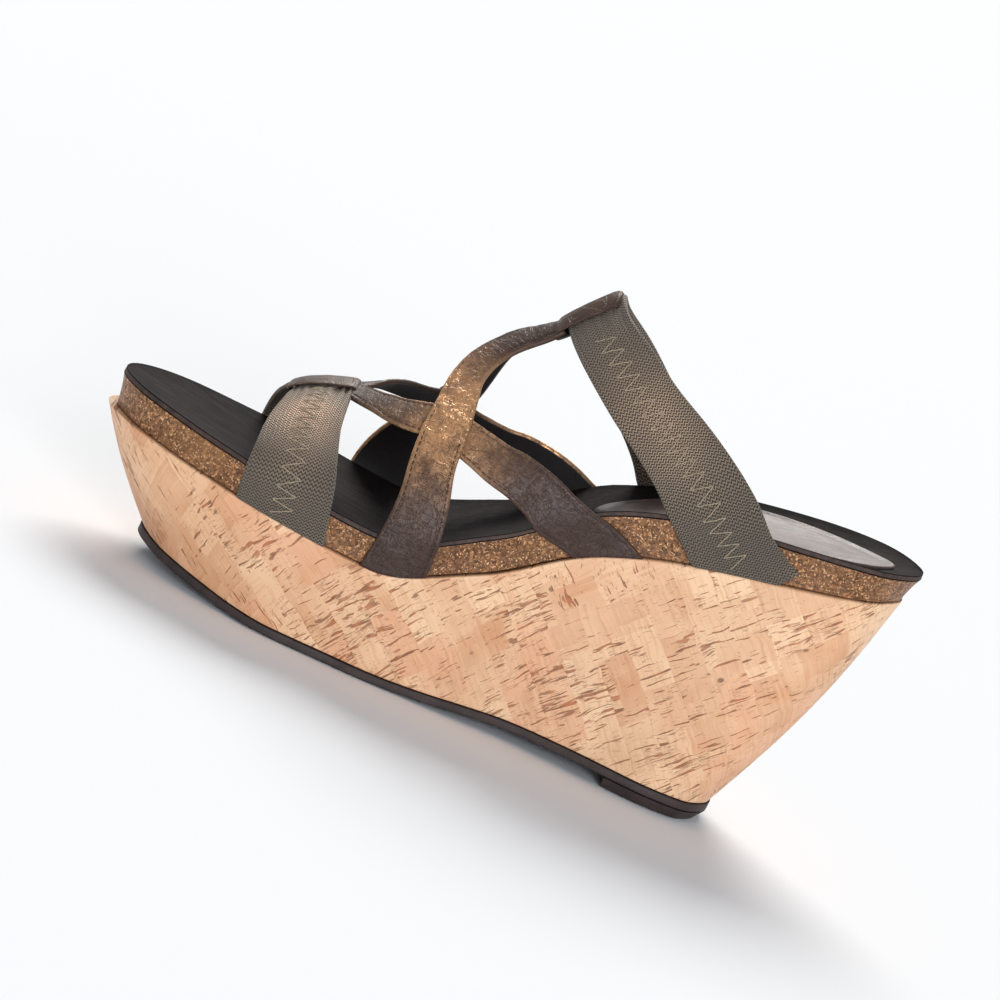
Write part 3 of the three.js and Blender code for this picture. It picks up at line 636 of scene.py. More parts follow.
def make_elastic():
    look, tree, flat, place = finish_named("woven elastic, olive brown")
    rub_and_highlight = add(tree, "Attribute", attribute_name="rub_and_highlight").outputs["Fac"]
    parts = add(tree, "SeparateXYZ", flat).outputs
    rib = add(tree, "Math PINGPONG", add(tree, "Math DIVIDE", parts["Y"], RIB_PITCH), 0.5)
    slant = add(tree, "Math MULTIPLY", rib, 1.5)
    run = add(tree, "Math ADD", add(tree, "Math DIVIDE", parts["X"], YARN_PITCH), slant)
    stitch = add(tree, "Math SINE", add(tree, "Math MULTIPLY", run, TAU))
    ridge = add(tree, "Math SINE", add(tree, "Math MULTIPLY", rib, TAU))
    ridge = add(tree, "Math MULTIPLY", ridge, 0.45)
    weave = add(tree, "Math ADD", add(tree, "Math MULTIPLY", stitch, 0.6), ridge)
    weave = add(tree, "Math ADD", weave, 0.36, use_clamp=True)
    drawn = add(tree, "Mapping", flat, sockets={"Scale": (0.25, 1.6, 1)})
    yarn = add(tree, "Mix RGBA", add(tree, "TexNoise", drawn, 1.0, 3.0), "#5E5345", "#857662")
    # A painted copper highlight goes over the yarn where the painted value on the mesh is high.
    yarn = add(tree, "Mix RGBA", add(tree, "Math MULTIPLY", rub_and_highlight, 0.95), yarn, "#E6BF9E")
    soil = add(tree, "MapRange", add(tree, "TexNoise", place, 0.06, 3.0), 0.4, 0.7, 0, 0.3)
    base = add(tree, "Mix RGBA", soil, add(tree, "Mix RGBA", weave, "#17130F", yarn), "#4A4338")
    return sealed(look, base, weave, 0.4, 1.0, {
        "Metallic": add(tree, "MapRange", rub_and_highlight, 0, 1, 0.0, 0.55), "Roughness": 0.62,
        "Sheen Weight": 0.25, "Sheen Roughness": 0.4,
    })


def make_plain(name, dark, light, roughness, scale, relief):
    """A finish of two mottled tones with a fine grain."""
    look, tree, _, place = finish_named(name)
    mottle = add(tree, "MapRange", add(tree, "TexNoise", place, scale, 4.0, 0.6), 0.35, 0.7)
    base = add(tree, "Mix RGBA", mottle, dark, light)
    grain = add(tree, "TexNoise", place, scale * 6, 3.0)
    return sealed(look, base, grain, relief, 0.6, {"Roughness": roughness})


ELASTIC = make_elastic()
DARK_THREAD = make_plain("polyester thread, dark brown", "#1D1413", "#3A2A26", 0.5, 1.2, 0.05)
LIGHT_THREAD = make_plain("polyester thread, sand", "#8F7F68", "#B7A68C", 0.5, 1.2, 0.05)
print("made", ELASTIC.name, "and two threads")

# %% [markdown]
# ### Footbed, pad and rubber
# The footbed is brushed leather, almost black, polished brown by wear.
# The heel pad is smoother and greyer.
# The outsole is moulded rubber, scraped paler along its edges by the ground.

# %% Footbed leather, pad leather and rubber
def make_worn(name, dark, light, worn, wear_scale, wear_low, roughness, relief, specular=0.5):
    """A mottled finish with long scuffs of a third tone."""
    look, tree, _, place = finish_named(name)
    mottle = add(tree, "MapRange", add(tree, "TexNoise", place, 0.12, 5.0, 0.6), 0.35, 0.65)
    drawn = add(tree, "Mapping", place, sockets={"Scale": (0.05, 0.4, 0.4)})
    scuffs = add(tree, "TexNoise", drawn, wear_scale, 6.0, 0.75, sockets={"Distortion": 0.4})
    scuffed = add(tree, "MapRange", scuffs, wear_low, wear_low + 0.12, 0.0, 0.75)
    base = add(tree, "Mix RGBA", scuffed, add(tree, "Mix RGBA", mottle, dark, light), worn)
    grain = add(tree, "TexVoronoi", place, 1.6)
    height = add(tree, "Math ADD", grain, add(tree, "TexNoise", place, 2.5, 3.0))
    return sealed(look, base, height, relief, 0.6, {
        "Roughness": add(tree, "MapRange", scuffs, 0.3, 0.7, roughness, roughness - 0.15),
        "Specular IOR Level": specular,
    })


FOOTBED_LEATHER = make_worn(
    "brushed footbed leather", "#0F0B0B", "#1D1516", "#3A2A27", 1.0, 0.62, 0.9, 0.12, 0.12,
)
PAD_LEATHER = make_worn(
    "heel pad leather, rubbed", "#4C3F3E", "#6A5955", "#8E7B73", 1.4, 0.56, 0.55, 0.08,
)
RUBBER = make_worn("moulded rubber, dark brown", "#261C1A", "#3A2C29", "#7C665A", 1.6, 0.64, 0.72, 0.1)
EDGE_LEATHER = make_plain("cut leather edge", "#261A16", "#4C372C", 0.7, 0.5, 0.05)
print("made", len(bpy.data.materials), "materials so far")

# %% [markdown]
# ## Sole layers
# Wedge, midsole, insole and outsole are each a ring of sections round the foot.
# A section starts on the middle line, runs over the top, down the wall and back underneath,
# so the skin closes on itself.
# A row of the grid is a section, and its corners are rounded as pressed and sanded edges are.

# %% A layer of the sole
AROUND = 220


def ring_place(i):
    """Turn and side of a section: the outer side goes to the heel, the inner side comes back."""
    t = 2 * i / AROUND
    return (math.pi * t, 1) if t <= 1 else (math.pi * (2 - t), -1)


def rounded(points, radius):
    """A polyline of sections with its marked corners rounded. A mark is the share of radius."""
    out = []
    for k, (point, mark) in enumerate(points):
        if not mark or k in (0, len(points) - 1):
            out.append(point)
            continue
        before, after = points[k - 1][0], points[k + 1][0]
        r = radius * mark
        start = point + (before - point).normalized() * min(r, (before - point).length * 0.45)
        end = point + (after - point).normalized() * min(r, (after - point).length * 0.45)
        for t in (0, 0.25, 0.5, 0.75, 1):
            out.append(start * (1 - t) ** 2 + point * 2 * t * (1 - t) + end * t * t)
    return out


def sole_layer(name, section, radius, looks, look_of=None, flat_of=None):
    """A closed layer whose sections are given by section(turn, side)."""
    sections = []
    for i in range(AROUND + 1):
        turn, side = ring_place(i)
        sections.append(rounded(section(turn, side), radius))
    down = len(sections[0]) - 1
    edge_length = [0.0]
    for before, after in zip(sections, sections[1:]):
        edge_length.append(edge_length[-1] + (after[down // 2] - before[down // 2]).length)

    def flat(i, j):
        if flat_of:
            return flat_of(i, sections[i][j], edge_length[i])
        return (edge_length[i], sections[i][j].z)

    return skin(name, AROUND, down, lambda i, j: sections[i][j], flat, looks, look_of)


# %% [markdown]
# ### Wedge
# On the real sandal a core is wrapped in cork sheet, with its joins at toe and heel.
# The sheet's pores slant on the inner side and run nearly straight up on the outer side,
# so the map of each side is turned by its own angle.

# %% Wedge
WALL_LEVELS = 16
INNER_GRAIN, OUTER_GRAIN = math.radians(52), math.radians(86)
INNER_JUMP = 300.0


def wedge_section(turn, side):
    along = along_of(turn)
    head = wedge_top_surface(turn, side)
    foot = sole_surface(turn, side, 0, OUTSOLE + SEAM)
    outward, swell = outward_at(turn, side), wall_swell(along)
    points = [(wedge_top_surface(turn, side * share), 0) for share in (0, 0.5, 0.9)]
    points.append((head, 1))
    for k in range(1, WALL_LEVELS):
        share = k / WALL_LEVELS
        points.append((head.lerp(foot, share) + outward * swell * math.sin(math.pi * share), 0))
    points.append((foot, 0.4))
    points += [(sole_surface(turn, side * share, 0, OUTSOLE + SEAM), 0) for share in (0.9, 0.5, 0)]
    return points


def wedge_flat(i, point, run):
    grain, jump = (OUTER_GRAIN, 0) if i <= AROUND / 2 else (INNER_GRAIN, INNER_JUMP)
    u, v = run, point.z + jump
    return (u * math.cos(grain) - v * math.sin(grain), u * math.sin(grain) + v * math.cos(grain))


wedge = sole_layer("wedge_cork", wedge_section, 1.1, [CORK_SHEET], flat_of=wedge_flat)
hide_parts("wedge")

# %% [markdown]
# ### Midsole
# The wall is sanded slightly hollow under the rim, and its top edge is wrapped by the footbed leather.

# %% Midsole
MIDSOLE_HOLLOW = 0.25


def midsole_section(turn, side):
    top = foot_surface(turn, side, INSOLE + SEAM * 0.2)
    foot = midsole_underside(turn, side)
    outward, deep = outward_at(turn, side), INSOLE + SEAM * 0.4
    points = [(foot_surface(turn, side * share, deep), 0) for share in (0, 0.45, 0.8, 0.95)]
    points.append((top, 0.35))
    for share in (0.2, 0.4, 0.6, 0.8):
        hollow = outward * MIDSOLE_HOLLOW * math.sin(math.pi * share)
        points.append((top.lerp(foot, share) - hollow, 0))
    points.append((foot, 0.3))
    points += [(midsole_underside(turn, side * share), 0) for share in (0.9, 0.5, 0)]
    return points


midsole = sole_layer("midsole_band", midsole_section, 1.0, [BRONZE_CORK])
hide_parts("midsole")

# %% [markdown]
# ### Footbed cover
# A leather sheet is glued into the dish and trimmed flush at the rim,
# so its cut edge shows as a thin paler line.

# %% Insole
RIM_RISE, RIM_SETBACK, RIM_PROUD = 0.15, 0.1, 0.15
TOP_SHARES = (0, 0.2, 0.4, 0.6, 0.75, 0.87, 0.95)
RIM_CORNER = len(TOP_SHARES)


def insole_section(turn, side):
    points = [(foot_surface(turn, side * share), 0) for share in TOP_SHARES]
    rim = foot_surface(turn, side)
    outward = outward_at(turn, side)
    points.append((rim + Vector((0, 0, RIM_RISE)) - outward * RIM_SETBACK, 1))
    points.append((rim - Vector((0, 0, INSOLE)) + outward * RIM_PROUD, 0.4))
    points += [(foot_surface(turn, side * share, INSOLE), 0) for share in (0.95, 0.8, 0.4, 0)]
    return points


insole = sole_layer(
    "insole_cover", insole_section, 0.8, [FOOTBED_LEATHER, EDGE_LEATHER],
    look_of=lambda i, j: 1 if RIM_CORNER + 3 <= j <= RIM_CORNER + 4 else 0,
)
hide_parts("insole")

# %% [markdown]
# ### Outsole and heel lift
# Both are die-cut from rubber sheet. Their walls are buffed,
# and the heel's back corner is bevelled so that it rolls.

# %% Outsole and heel lift
def outsole_section(turn, side):
    stations = [
        (0, OUTSOLE, 0), (0.5, OUTSOLE, 0), (0.9, OUTSOLE, 0), (1, OUTSOLE, 0.8), (1, OUTSOLE / 2, 0),
        (1, 0, 1), (0.9, 0, 0), (0.5, 0, 0), (0, 0, 0),
    ]
    return [(sole_surface(turn, side * share, OUTSOLE_PROUD, z), mark) for share, z, mark in stations]


outsole = sole_layer("outsole_rubber", outsole_section, 0.7, [RUBBER])
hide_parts("outsole")


LIFT_BEVEL, SHARP_ANGLE = 0.4, math.radians(40)


def dressed_copy(node, name, look, bevel):
    """A CAD node's mesh with its doubles merged, its triangles joined and its edges rounded."""
    bm = bmesh.new()
    bm.from_mesh(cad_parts[node].data)
    bmesh.ops.remove_doubles(bm, verts=bm.verts, dist=SLIVER)
    bmesh.ops.join_triangles(
        bm, faces=bm.faces, angle_face_threshold=0.35, angle_shape_threshold=1.0,
    )
    sharp = [e for e in bm.edges if e.is_manifold and e.calc_face_angle() > SHARP_ANGLE]
    bmesh.ops.bevel(
        bm, geom=sharp, offset=bevel * MM, segments=3, profile=0.5, affect="EDGES", material=-1,
        clamp_overlap=True,
    )
    for face in bm.faces:
        face.smooth = True
    mesh = bpy.data.meshes.new(name)
    bm.to_mesh(mesh)
    bm.free()
    piece = piece_of(name, mesh, [look])
    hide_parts(node)


dressed_copy("heel_lift", "heel_lift_rubber", RUBBER, LIFT_BEVEL)

# %% [markdown]
# ### Heel pad
# A thin oval of smoother leather is glued on the footbed, with a pressed line just inside its edge.

# %% Heel pad
PAD_START, PAD_END, PAD_WIDTH = 0.6, 0.965, 0.8
PAD_RINGS = (0, 0.3, 0.55, 0.75, 0.86, 0.9, 0.93, 0.965, 0.985, 1.0)
PRESSED_RINGS = (0.9, 0.93, 1.0)
PAD_ROWS, PAD_CUSHION, PAD_PRESS, PAD_GLUE = 120, 0.2, 0.35, 0.02


def pad_point(angle, ring, height):
    """The oval is drawn by a turn round its middle, and lies on the footbed."""
    middle, half = (PAD_START + PAD_END) / 2, (PAD_END - PAD_START) / 2
    along = middle - half * math.cos(angle) * ring
    across = PAD_WIDTH * math.sin(angle) * ring
    point = foot_surface(turn_of(along), across)
    point.z += height
    return point


def pad_place(i, j):
    angle = TAU * i / PAD_ROWS
    if j < len(PAD_RINGS):
        ring = PAD_RINGS[j]
        return pad_point(angle, ring, PAD + PAD_CUSHION - (PAD_PRESS if ring in PRESSED_RINGS else 0))
    return pad_point(angle, 1.0 if j == len(PAD_RINGS) else 0.0, PAD_GLUE)


pad = skin(
    "heel_pad_leather", PAD_ROWS, len(PAD_RINGS) + 1, pad_place,
    lambda i, j: (i, j), [PAD_LEATHER],
)
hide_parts("heel_pad")

# %% [markdown]
# ## Straps and bands
# A strap is laid along a route on the form,
# and its width is walked off over the surface as a tape would lie.
# Sampling the route once gives a table of points and outward directions,
# from which the strap's skin, its stitches and its folds are all read.

# %% Sampling a route
LEATHER, ELASTIC_THICK, LAYER_STEP, STAND_OFF = 1.7, 1.8, 1.4, 0.5
TABLE_ROWS, HALF_COLUMNS = 90, 7
RUN_STEP = 0.02
PLACE_PASSES, POINT_PASSES, OUT_PASSES = 14, 3, 6


def eased(grid, passes):
    """Takes the kinks out of each column of a grid of vectors, with its ends held."""
    for _ in range(passes):
        before = [list(row) for row in grid]
        for i in range(1, len(grid) - 1):
            near = zip(before[i - 1], before[i], before[i + 1])
            grid[i][:] = [(a + b * 2 + c) / 4 for a, b, c in near]


def laid(route):
    """Samples a route of (along, across, width, lift) into rows of places, with its length."""
    ats = [k / (len(route) - 1) for k in range(len(route))]
    along, across, width, lift = (curve_through(ats, [r[k] for r in route]) for k in range(4))
    rows, length, last = [], 0.0, None
    for i in range(TABLE_ROWS + 1):
        t = i / TABLE_ROWS
        here = (along(t), across(t))
        ends = (min(t + RUN_STEP, 1), max(t - RUN_STEP, 0))
        ahead, behind = (form_point(along(end), across(end)) for end in ends)
        run = ahead - behind
        sideways = form_frame(*here)[2].cross(run).normalized()
        half = width(t) / 2
        cells = [None] * (2 * HALF_COLUMNS + 1)
        for way in (-1, 1):
            place = here
            for k in range(HALF_COLUMNS + 1):
                if k:
                    move = sideways * way * half / HALF_COLUMNS
                    place = stepped(*stepped(*place, move / 2), move / 2)
                cells[HALF_COLUMNS + way * k] = Vector(place)
        centre = form_point(*here)
        length += (centre - last).length if last else 0.0
        last = centre
        rows.append({"cells": cells, "half": half, "at": length, "lift": lift(t) * LAYER_STEP})
    eased([row["cells"] for row in rows], PLACE_PASSES)
    points = [[form_point(*place) for place in row["cells"]] for row in rows]
    outs = [[form_frame(*place)[2] for place in row["cells"]] for row in rows]
    eased(points, POINT_PASSES)
    eased(outs, OUT_PASSES)
    for row, row_points, row_outs in zip(rows, points, outs):
        row["cells"] = list(zip(row_points, row_outs))
    return rows


def on_strap(rows, t, share, height):
    """The point at share across (-1 to 1) and t along, raised over the form."""
    i = min(max(t, 0.0), 1.0) * TABLE_ROWS
    j = (min(max(share, -1.0), 1.0) + 1) * HALF_COLUMNS
    i0, j0 = min(int(i), TABLE_ROWS - 1), min(int(j), 2 * HALF_COLUMNS - 1)
    di, dj = i - i0, j - j0
    point, out = Vector(), Vector()
    for row, wi in ((rows[i0], 1 - di), (rows[i0 + 1], di)):
        for k, wj in ((j0, 1 - dj), (j0 + 1, dj)):
            point += row["cells"][k][0] * wi * wj
            out += row["cells"][k][1] * wi * wj
    lift = rows[i0]["lift"] * (1 - di) + rows[i0 + 1]["lift"] * di
    return point + out.normalized() * (height + lift + STAND_OFF)


def share_at(rows, at):
    """The share of the strap that lies before a length in millimetres."""
    i = max(k for k in range(TABLE_ROWS) if rows[k]["at"] <= max(at, 0.0))
    return (i + min((at - rows[i]["at"]) / (rows[i + 1]["at"] - rows[i]["at"]), 1.0)) / TABLE_ROWS


def ledge_height(point):
    """Height of the wedge's top edge beside a point, which no strap goes below."""
    along = min(max(point.x / FOOTBED_LENGTH + 0.5, 0), 1)
    side = -1 if point.y < 0 else 1
    return rim_height(along, side) - midsole_height(along) - SEAM


def held_up(point):
    """Keeps a point of a strap on the ledge, or a hair below it."""
    point.z = max(point.z, ledge_height(point) - 0.1)
    return point


# %% The skin of a strap
TOP_CELLS, EDGE_CELLS = 24, 5


def bump_at(distance, width):
    """1 at no distance, falling smoothly to 0 over a width or two."""
    return math.exp(-((distance / width) ** 2))


def strap_section(half, thickness, crown):
    """Shares across and heights of a section: over the top, round an edge, under and back."""
    r = thickness / 2
    inset = 1 - r / half
    section = []
    for k in range(TOP_CELLS + 1):
        share = (2 * k / TOP_CELLS - 1) * inset
        section.append((share, thickness + crown * (1 - (share / inset) ** 2)))
    for k in range(1, EDGE_CELLS):
        angle = math.pi * k / EDGE_CELLS
        section.append((inset + (1 - inset) * math.sin(angle), r + r * math.cos(angle)))
    for k in range(TOP_CELLS + 1):
        section.append(((1 - 2 * k / TOP_CELLS) * inset, 0.0))
    for k in range(1, EDGE_CELLS):
        angle = math.pi * k / EDGE_CELLS
        section.append((-inset - (1 - inset) * math.sin(angle), r - r * math.cos(angle)))
    section.append(section[0])
    return section


STRAP_STEPS, FOLD_WIDTH, PAINT_STEP = 160, 0.7, 3


def lay_strap(name, rows, thickness, crown, looks, relief, rub_and_highlight, drop=0.0):
    """A closed strap. relief(t, off, half, at) lifts its face, and the next function, of (t, off), gives
    the value of rubbed metal and painted highlight that is painted on it.

    t is the share along, off and half are the distance from the middle and its most, and at is the
    distance along, in millimetres.
    """
    columns = 2 * (TOP_CELLS + EDGE_CELLS)

    def row_at(t):
        i = min(int(t * TABLE_ROWS), TABLE_ROWS - 1)
        f = t * TABLE_ROWS - i
        a, b = rows[i], rows[i + 1]
        return a["half"] * (1 - f) + b["half"] * f, a["at"] * (1 - f) + b["at"] * f

    def place(i, j):
        t = i / STRAP_STEPS
        half, at = row_at(t)
        share, height = strap_section(half, thickness, crown)[j]
        if height > thickness * 0.6:
            height += relief(t, share * half, half, at)
        return held_up(on_strap(rows, t, share, height - drop))

    def flat(i, j):
        half, at = row_at(i / STRAP_STEPS)
        return (at, strap_section(half, thickness, crown)[j][0] * half)

    under = lambda i, j: 1 if TOP_CELLS + EDGE_CELLS <= j < 2 * TOP_CELLS + EDGE_CELLS else 0
    look_of = under if len(looks) > 1 else None
    piece = skin(name, STRAP_STEPS, columns, place, flat, looks, look_of)
    mesh = piece.data
    # The first list holds rubbed metal and painted highlight, and the second marks the folded edges,
    # where the leather paints a highlight line.
    bronze = [0.0] * len(mesh.vertices)
    folded = [0.0] * len(mesh.vertices)
    length = rows[-1]["at"]
    for loop, corner in zip(mesh.loops, mesh.uv_layers["flat"].data):
        at, off = corner.uv
        row = min(rows[::PAINT_STEP], key=lambda row: abs(row["at"] - at))
        bronze[loop.vertex_index] = rub_and_highlight(at / length, off)
        folded[loop.vertex_index] = bump_at(row["half"] - abs(off), FOLD_WIDTH)
    mesh.attributes.new("rub_and_highlight", "FLOAT", "POINT").data.foreach_set("value", bronze)
    mesh.attributes.new("fold", "FLOAT", "POINT").data.foreach_set("value", folded)
    return piece


# %% [markdown]
# ### Elastic bands
# The bands are cut wide and gathered where the leather loops pinch them,
# so pleats run out from each loop and fade.

# %% Elastic bands
P = PAST
BAND_FACE, BAND_CROWN = 1.6, 0.15
PLEAT_PITCH, PLEAT_DEPTH, PLEAT_REACH = 2.9, 0.32, 0.13
TOE_FOOT, TOE_CROWN, INSTEP_FOOT, INSTEP_CROWN = 29.0, 18.0, 28.0, 19.0
TOE_BAND_ROUTE = [
    (0.259, -P, TOE_FOOT, 0), (0.2465, -1.0, TOE_FOOT * 0.96, 0), (0.24, -0.8, TOE_FOOT * 0.87, 0.2),
    (0.232, -0.5, TOE_CROWN * 1.22, 0.7), (0.235, -0.25, TOE_CROWN * 1.06, 1),
    (0.237, 0.0, TOE_CROWN * 0.97, 1), (0.229, 0.25, TOE_CROWN, 1), (0.217, 0.5, TOE_CROWN * 1.12, 0.7),
    (0.2145, 0.8, TOE_FOOT * 0.75, 0.2), (0.2195, 1.0, TOE_FOOT * 0.88, 0), (0.231, P, TOE_FOOT, 0),
]
INSTEP_BAND_ROUTE = [
    (0.818, -P, INSTEP_FOOT, 0), (0.736, -1.0, INSTEP_FOOT * 0.93, 0),
    (0.682, -0.9, INSTEP_FOOT * 0.86, 0.2), (0.606, -0.72, INSTEP_CROWN * 1.16, 0.5),
    (0.542, -0.39, INSTEP_CROWN * 1.08, 1), (0.495, 0.0, INSTEP_CROWN, 1),
    (0.542, 0.41, INSTEP_CROWN * 1.08, 1), (0.598, 0.73, INSTEP_CROWN * 1.16, 0.5),
    (0.648, 0.89, INSTEP_FOOT * 0.86, 0.2), (0.69, 1.0, INSTEP_FOOT * 0.93, 0),
    (0.765, P, INSTEP_FOOT, 0),
]


def pleats(t, off, half, at):
    """Gathers fade with distance from the loop at the middle."""
    near = bump_at(t - 0.5, PLEAT_REACH)
    wander = 0.8 * noise.noise(Vector((at * 0.06, off * 0.3, 3.1)))
    edge = 0.18 * bump_at(half - abs(off), 1.2)
    return PLEAT_DEPTH * near * math.sin(TAU * (off / PLEAT_PITCH + wander)) + edge - 0.1


def copper_highlight(t, off):
    """A painted copper highlight, brightest a fifth of the way from the middle to each side."""
    return bump_at(abs(t - 0.5) - 0.2, 0.11) * bump_at(off, 11)


toe_rows, instep_rows = laid(TOE_BAND_ROUTE), laid(INSTEP_BAND_ROUTE)
toe_band = lay_strap(
    "toe_band_elastic", toe_rows, BAND_FACE, BAND_CROWN, [ELASTIC], pleats, copper_highlight,
)
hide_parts("toe_band")
instep_band = lay_strap(
    "instep_band_elastic", instep_rows, BAND_FACE, BAND_CROWN, [ELASTIC], pleats,
    lambda t, off: 0.55 * copper_highlight(t, off),
)
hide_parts("instep_band")

# %% [markdown]
# ### Leather straps
# Each strap is a folded leather face on a black lining, topstitched beside both edges.
# The front straps rise over the rear straps where they cross.
# A shallow groove runs under each row of stitches.

# %% Leather straps
WAIST, STEM = 12.0, 9.5
FRONT_INNER = [
    (0.405, -P, 20, 0), (0.407, -1.0, 18, 0), (0.402, -0.85, 15.4, 0.5), (0.393, -0.7, WAIST * 1.16, 0.9),
    (0.391, -0.555, WAIST * 1.12, 1), (0.391, -0.41, WAIST, 1), (0.389, -0.26, WAIST * 0.9, 1),
    (0.403, -0.125, WAIST * 0.88, 1), (0.43, -0.065, STEM, 1), (0.47, -0.02, STEM, 1),
]
FRONT_OUTER = [
    (0.349, P, 25, 0), (0.341, 1.0, 21.5, 0), (0.345, 0.86, 18.5, 0.4), (0.356, 0.73, WAIST * 1.3, 0.8),
    (0.374, 0.61, WAIST * 1.14, 1), (0.391, 0.48, WAIST * 1.02, 1), (0.401, 0.34, WAIST * 0.93, 1),
    (0.41, 0.2, WAIST * 0.88, 1), (0.432, 0.08, STEM, 1), (0.47, 0.02, STEM, 1),
]
REAR_INNER = [
    (0.66, -P, 16, 0), (0.562, -1.0, 15.4, 0), (0.521, -0.88, 14.7, 0), (0.471, -0.745, WAIST * 1.12, 0),
    (0.424, -0.605, WAIST, 0), (0.364, -0.435, WAIST, 0), (0.33, -0.34, WAIST * 0.92, 0.2),
    (0.303, -0.23, STEM, 0.6), (0.262, -0.08, STEM, 1),
]
REAR_OUTER = [
    (0.648, P, 16, 0), (0.562, 1.0, 15.4, 0), (0.508, 0.87, 14.4, 0), (0.458, 0.765, WAIST * 1.03, 0),
    (0.41, 0.65, WAIST * 0.95, 0), (0.362, 0.47, WAIST * 0.85, 0), (0.322, 0.27, WAIST * 0.76, 0.2),
    (0.298, 0.08, STEM * 0.92, 0.6), (0.262, -0.05, STEM * 0.92, 1),
]
LEATHER_CROWN, OUTER_DROP = 0.12, 0.16
STITCH_INSET, STITCH_PITCH, STITCH_SHARE, STITCH_START, STITCH_END = 1.4, 1.9, 0.62, 0.06, 0.93
THREAD_RADIUS, THREAD_PROUD = 0.15, 0.02
GROOVE_DEPTH, GROOVE_WIDTH, LAP_HEIGHT = 0.22, 0.45, 0.22
LAP_AT, NO_LAP = 0.43, 2.0


def leather_relief(t, off, half, at, lap_at):
    """A stitched groove inside each edge, a soft unevenness of hide, and a lap where a seam crosses."""
    groove = -GROOVE_DEPTH * bump_at(half - abs(off) - STITCH_INSET, GROOVE_WIDTH)
    hide = 0.22 * noise.noise(Vector((at * 0.16, off * 0.22, half)))
    crinkle = 0.1 * noise.noise(Vector((at * 0.6, off * 0.35, 7.7)))
    slanted = (t - lap_at + 0.012 * off / half) / 0.006
    return groove + hide + crinkle + (LAP_HEIGHT * math.tanh(slanted) if lap_at < 1 else 0.0)


def stitch_row(rows, side, drop):
    """Short stitches that dip into the leather at both ends."""
    length = rows[-1]["at"]
    runs = []
    first, last = (int(length * end / STITCH_PITCH) for end in (STITCH_START, STITCH_END))
    for k in range(first + 1, last):
        run = []
        for part, sink in ((-0.5, 0.3), (-0.25, 0.14), (0.25, 0.14), (0.5, 0.3)):
            t = share_at(rows, (k + part * STITCH_SHARE) * STITCH_PITCH)
            i = min(int(t * TABLE_ROWS), TABLE_ROWS)
            share = side * (1 - STITCH_INSET / rows[i]["half"])
            run.append(held_up(on_strap(rows, t, share, LEATHER + THREAD_PROUD - sink - drop)))
        runs.append(run)
    return runs


# name, route, drop, where a lap crosses, and place, spread and strength of the rubbed patch, which is
# rubbed bronze and painted highlight
STRAPS = [
    ("front_strap_inner", FRONT_INNER, 0.0, LAP_AT, (0.53, 0.16, 1.3)),
    ("front_strap_outer", FRONT_OUTER, OUTER_DROP, NO_LAP, (0.24, 0.17, 0.85)),
    ("rear_strap_inner", REAR_INNER, 0.0, NO_LAP, (0.64, 0.16, 0.5)),
    ("rear_strap_outer", REAR_OUTER, OUTER_DROP, NO_LAP, (0.3, 0.14, 0.6)),
]
stitch_runs = []
# Each strap's patch is rubbed bronze and also a painted highlight where light catches it.
for strap_name, route, drop, lap_at, (rub_highlight_at, rub_highlight_spread, rub_highlight_most) in STRAPS:
    rows = laid(route)
    strap = lay_strap(
        strap_name, rows, LEATHER, LEATHER_CROWN, [STRAP_LEATHER, LINING],
        lambda t, off, half, at: leather_relief(t, off, half, at, lap_at),
        lambda t, off: rub_highlight_most * bump_at(t - rub_highlight_at, rub_highlight_spread), drop,
    )
    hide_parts("leather_lattice")
    for side in (-1, 1):
        stitch_runs += stitch_row(rows, side, drop)
threads("strap_topstitch", stitch_runs, THREAD_RADIUS, DARK_THREAD)

# %% [markdown]
# ### Zigzag stitches
# A sand-coloured zigzag down the middle of each band holds it to its backing.
# It is 6.6 mm wide with a 4.4 mm pitch, and stops short of the loop.

# %% Zigzag stitches on the bands
ZIGZAG_WIDTH, ZIGZAG_PITCH, ZIGZAG_START, ZIGZAG_END, LOOP_CLEAR = 6.6, 4.4, 0.06, 0.94, 0.06


def zigzag(rows):
    """One stitch for each stroke of the zigzag, its ends sunk in the band."""
    strokes = rows[-1]["at"] / ZIGZAG_PITCH * 2
    runs = []
    for k in range(int(strokes * ZIGZAG_START), int(strokes * ZIGZAG_END)):
        if abs(share_at(rows, (k + 0.5) * ZIGZAG_PITCH / 2) - 0.5) < LOOP_CLEAR:
            continue
        side = 1 if k % 2 else -1
        run = []
        for part in (0.02, 0.2, 0.4, 0.6, 0.8, 0.98):
            at = (k + part) * ZIGZAG_PITCH / 2
            t = share_at(rows, at)
            half = rows[min(int(t * TABLE_ROWS), TABLE_ROWS)]["half"]
            share = side * (1 - 2 * part) * ZIGZAG_WIDTH / 2 / half
            sink = 0.2 if part in (0.02, 0.98) else 0.0
            off = share * half
            face = BAND_FACE + BAND_CROWN * (1 - share**2) + pleats(t, off, half, at)
            run.append(held_up(on_strap(rows, t, share, face + 0.12 - sink)))
        runs.append(run)
    return runs


threads("band_zigzag", zigzag(toe_rows) + zigzag(instep_rows), THREAD_RADIUS, LIGHT_THREAD)

# %% [markdown]
# ### Leather loops
# Each stem ends in a loop of folded leather round its band.
# The loop is a ring bent round the band's section, with hardly any rubbed bronze or painted highlight.

# %% Loops round the bands
LOOP_THICK, LOOP_ROWS, LOOP_CELLS, LOOP_RUB_HIGHLIGHT = 0.85, 72, 18, 0.04


def squared(value, power):
    """A sine or cosine pushed out towards the corners of a square."""
    return math.copysign(abs(value) ** power, value)


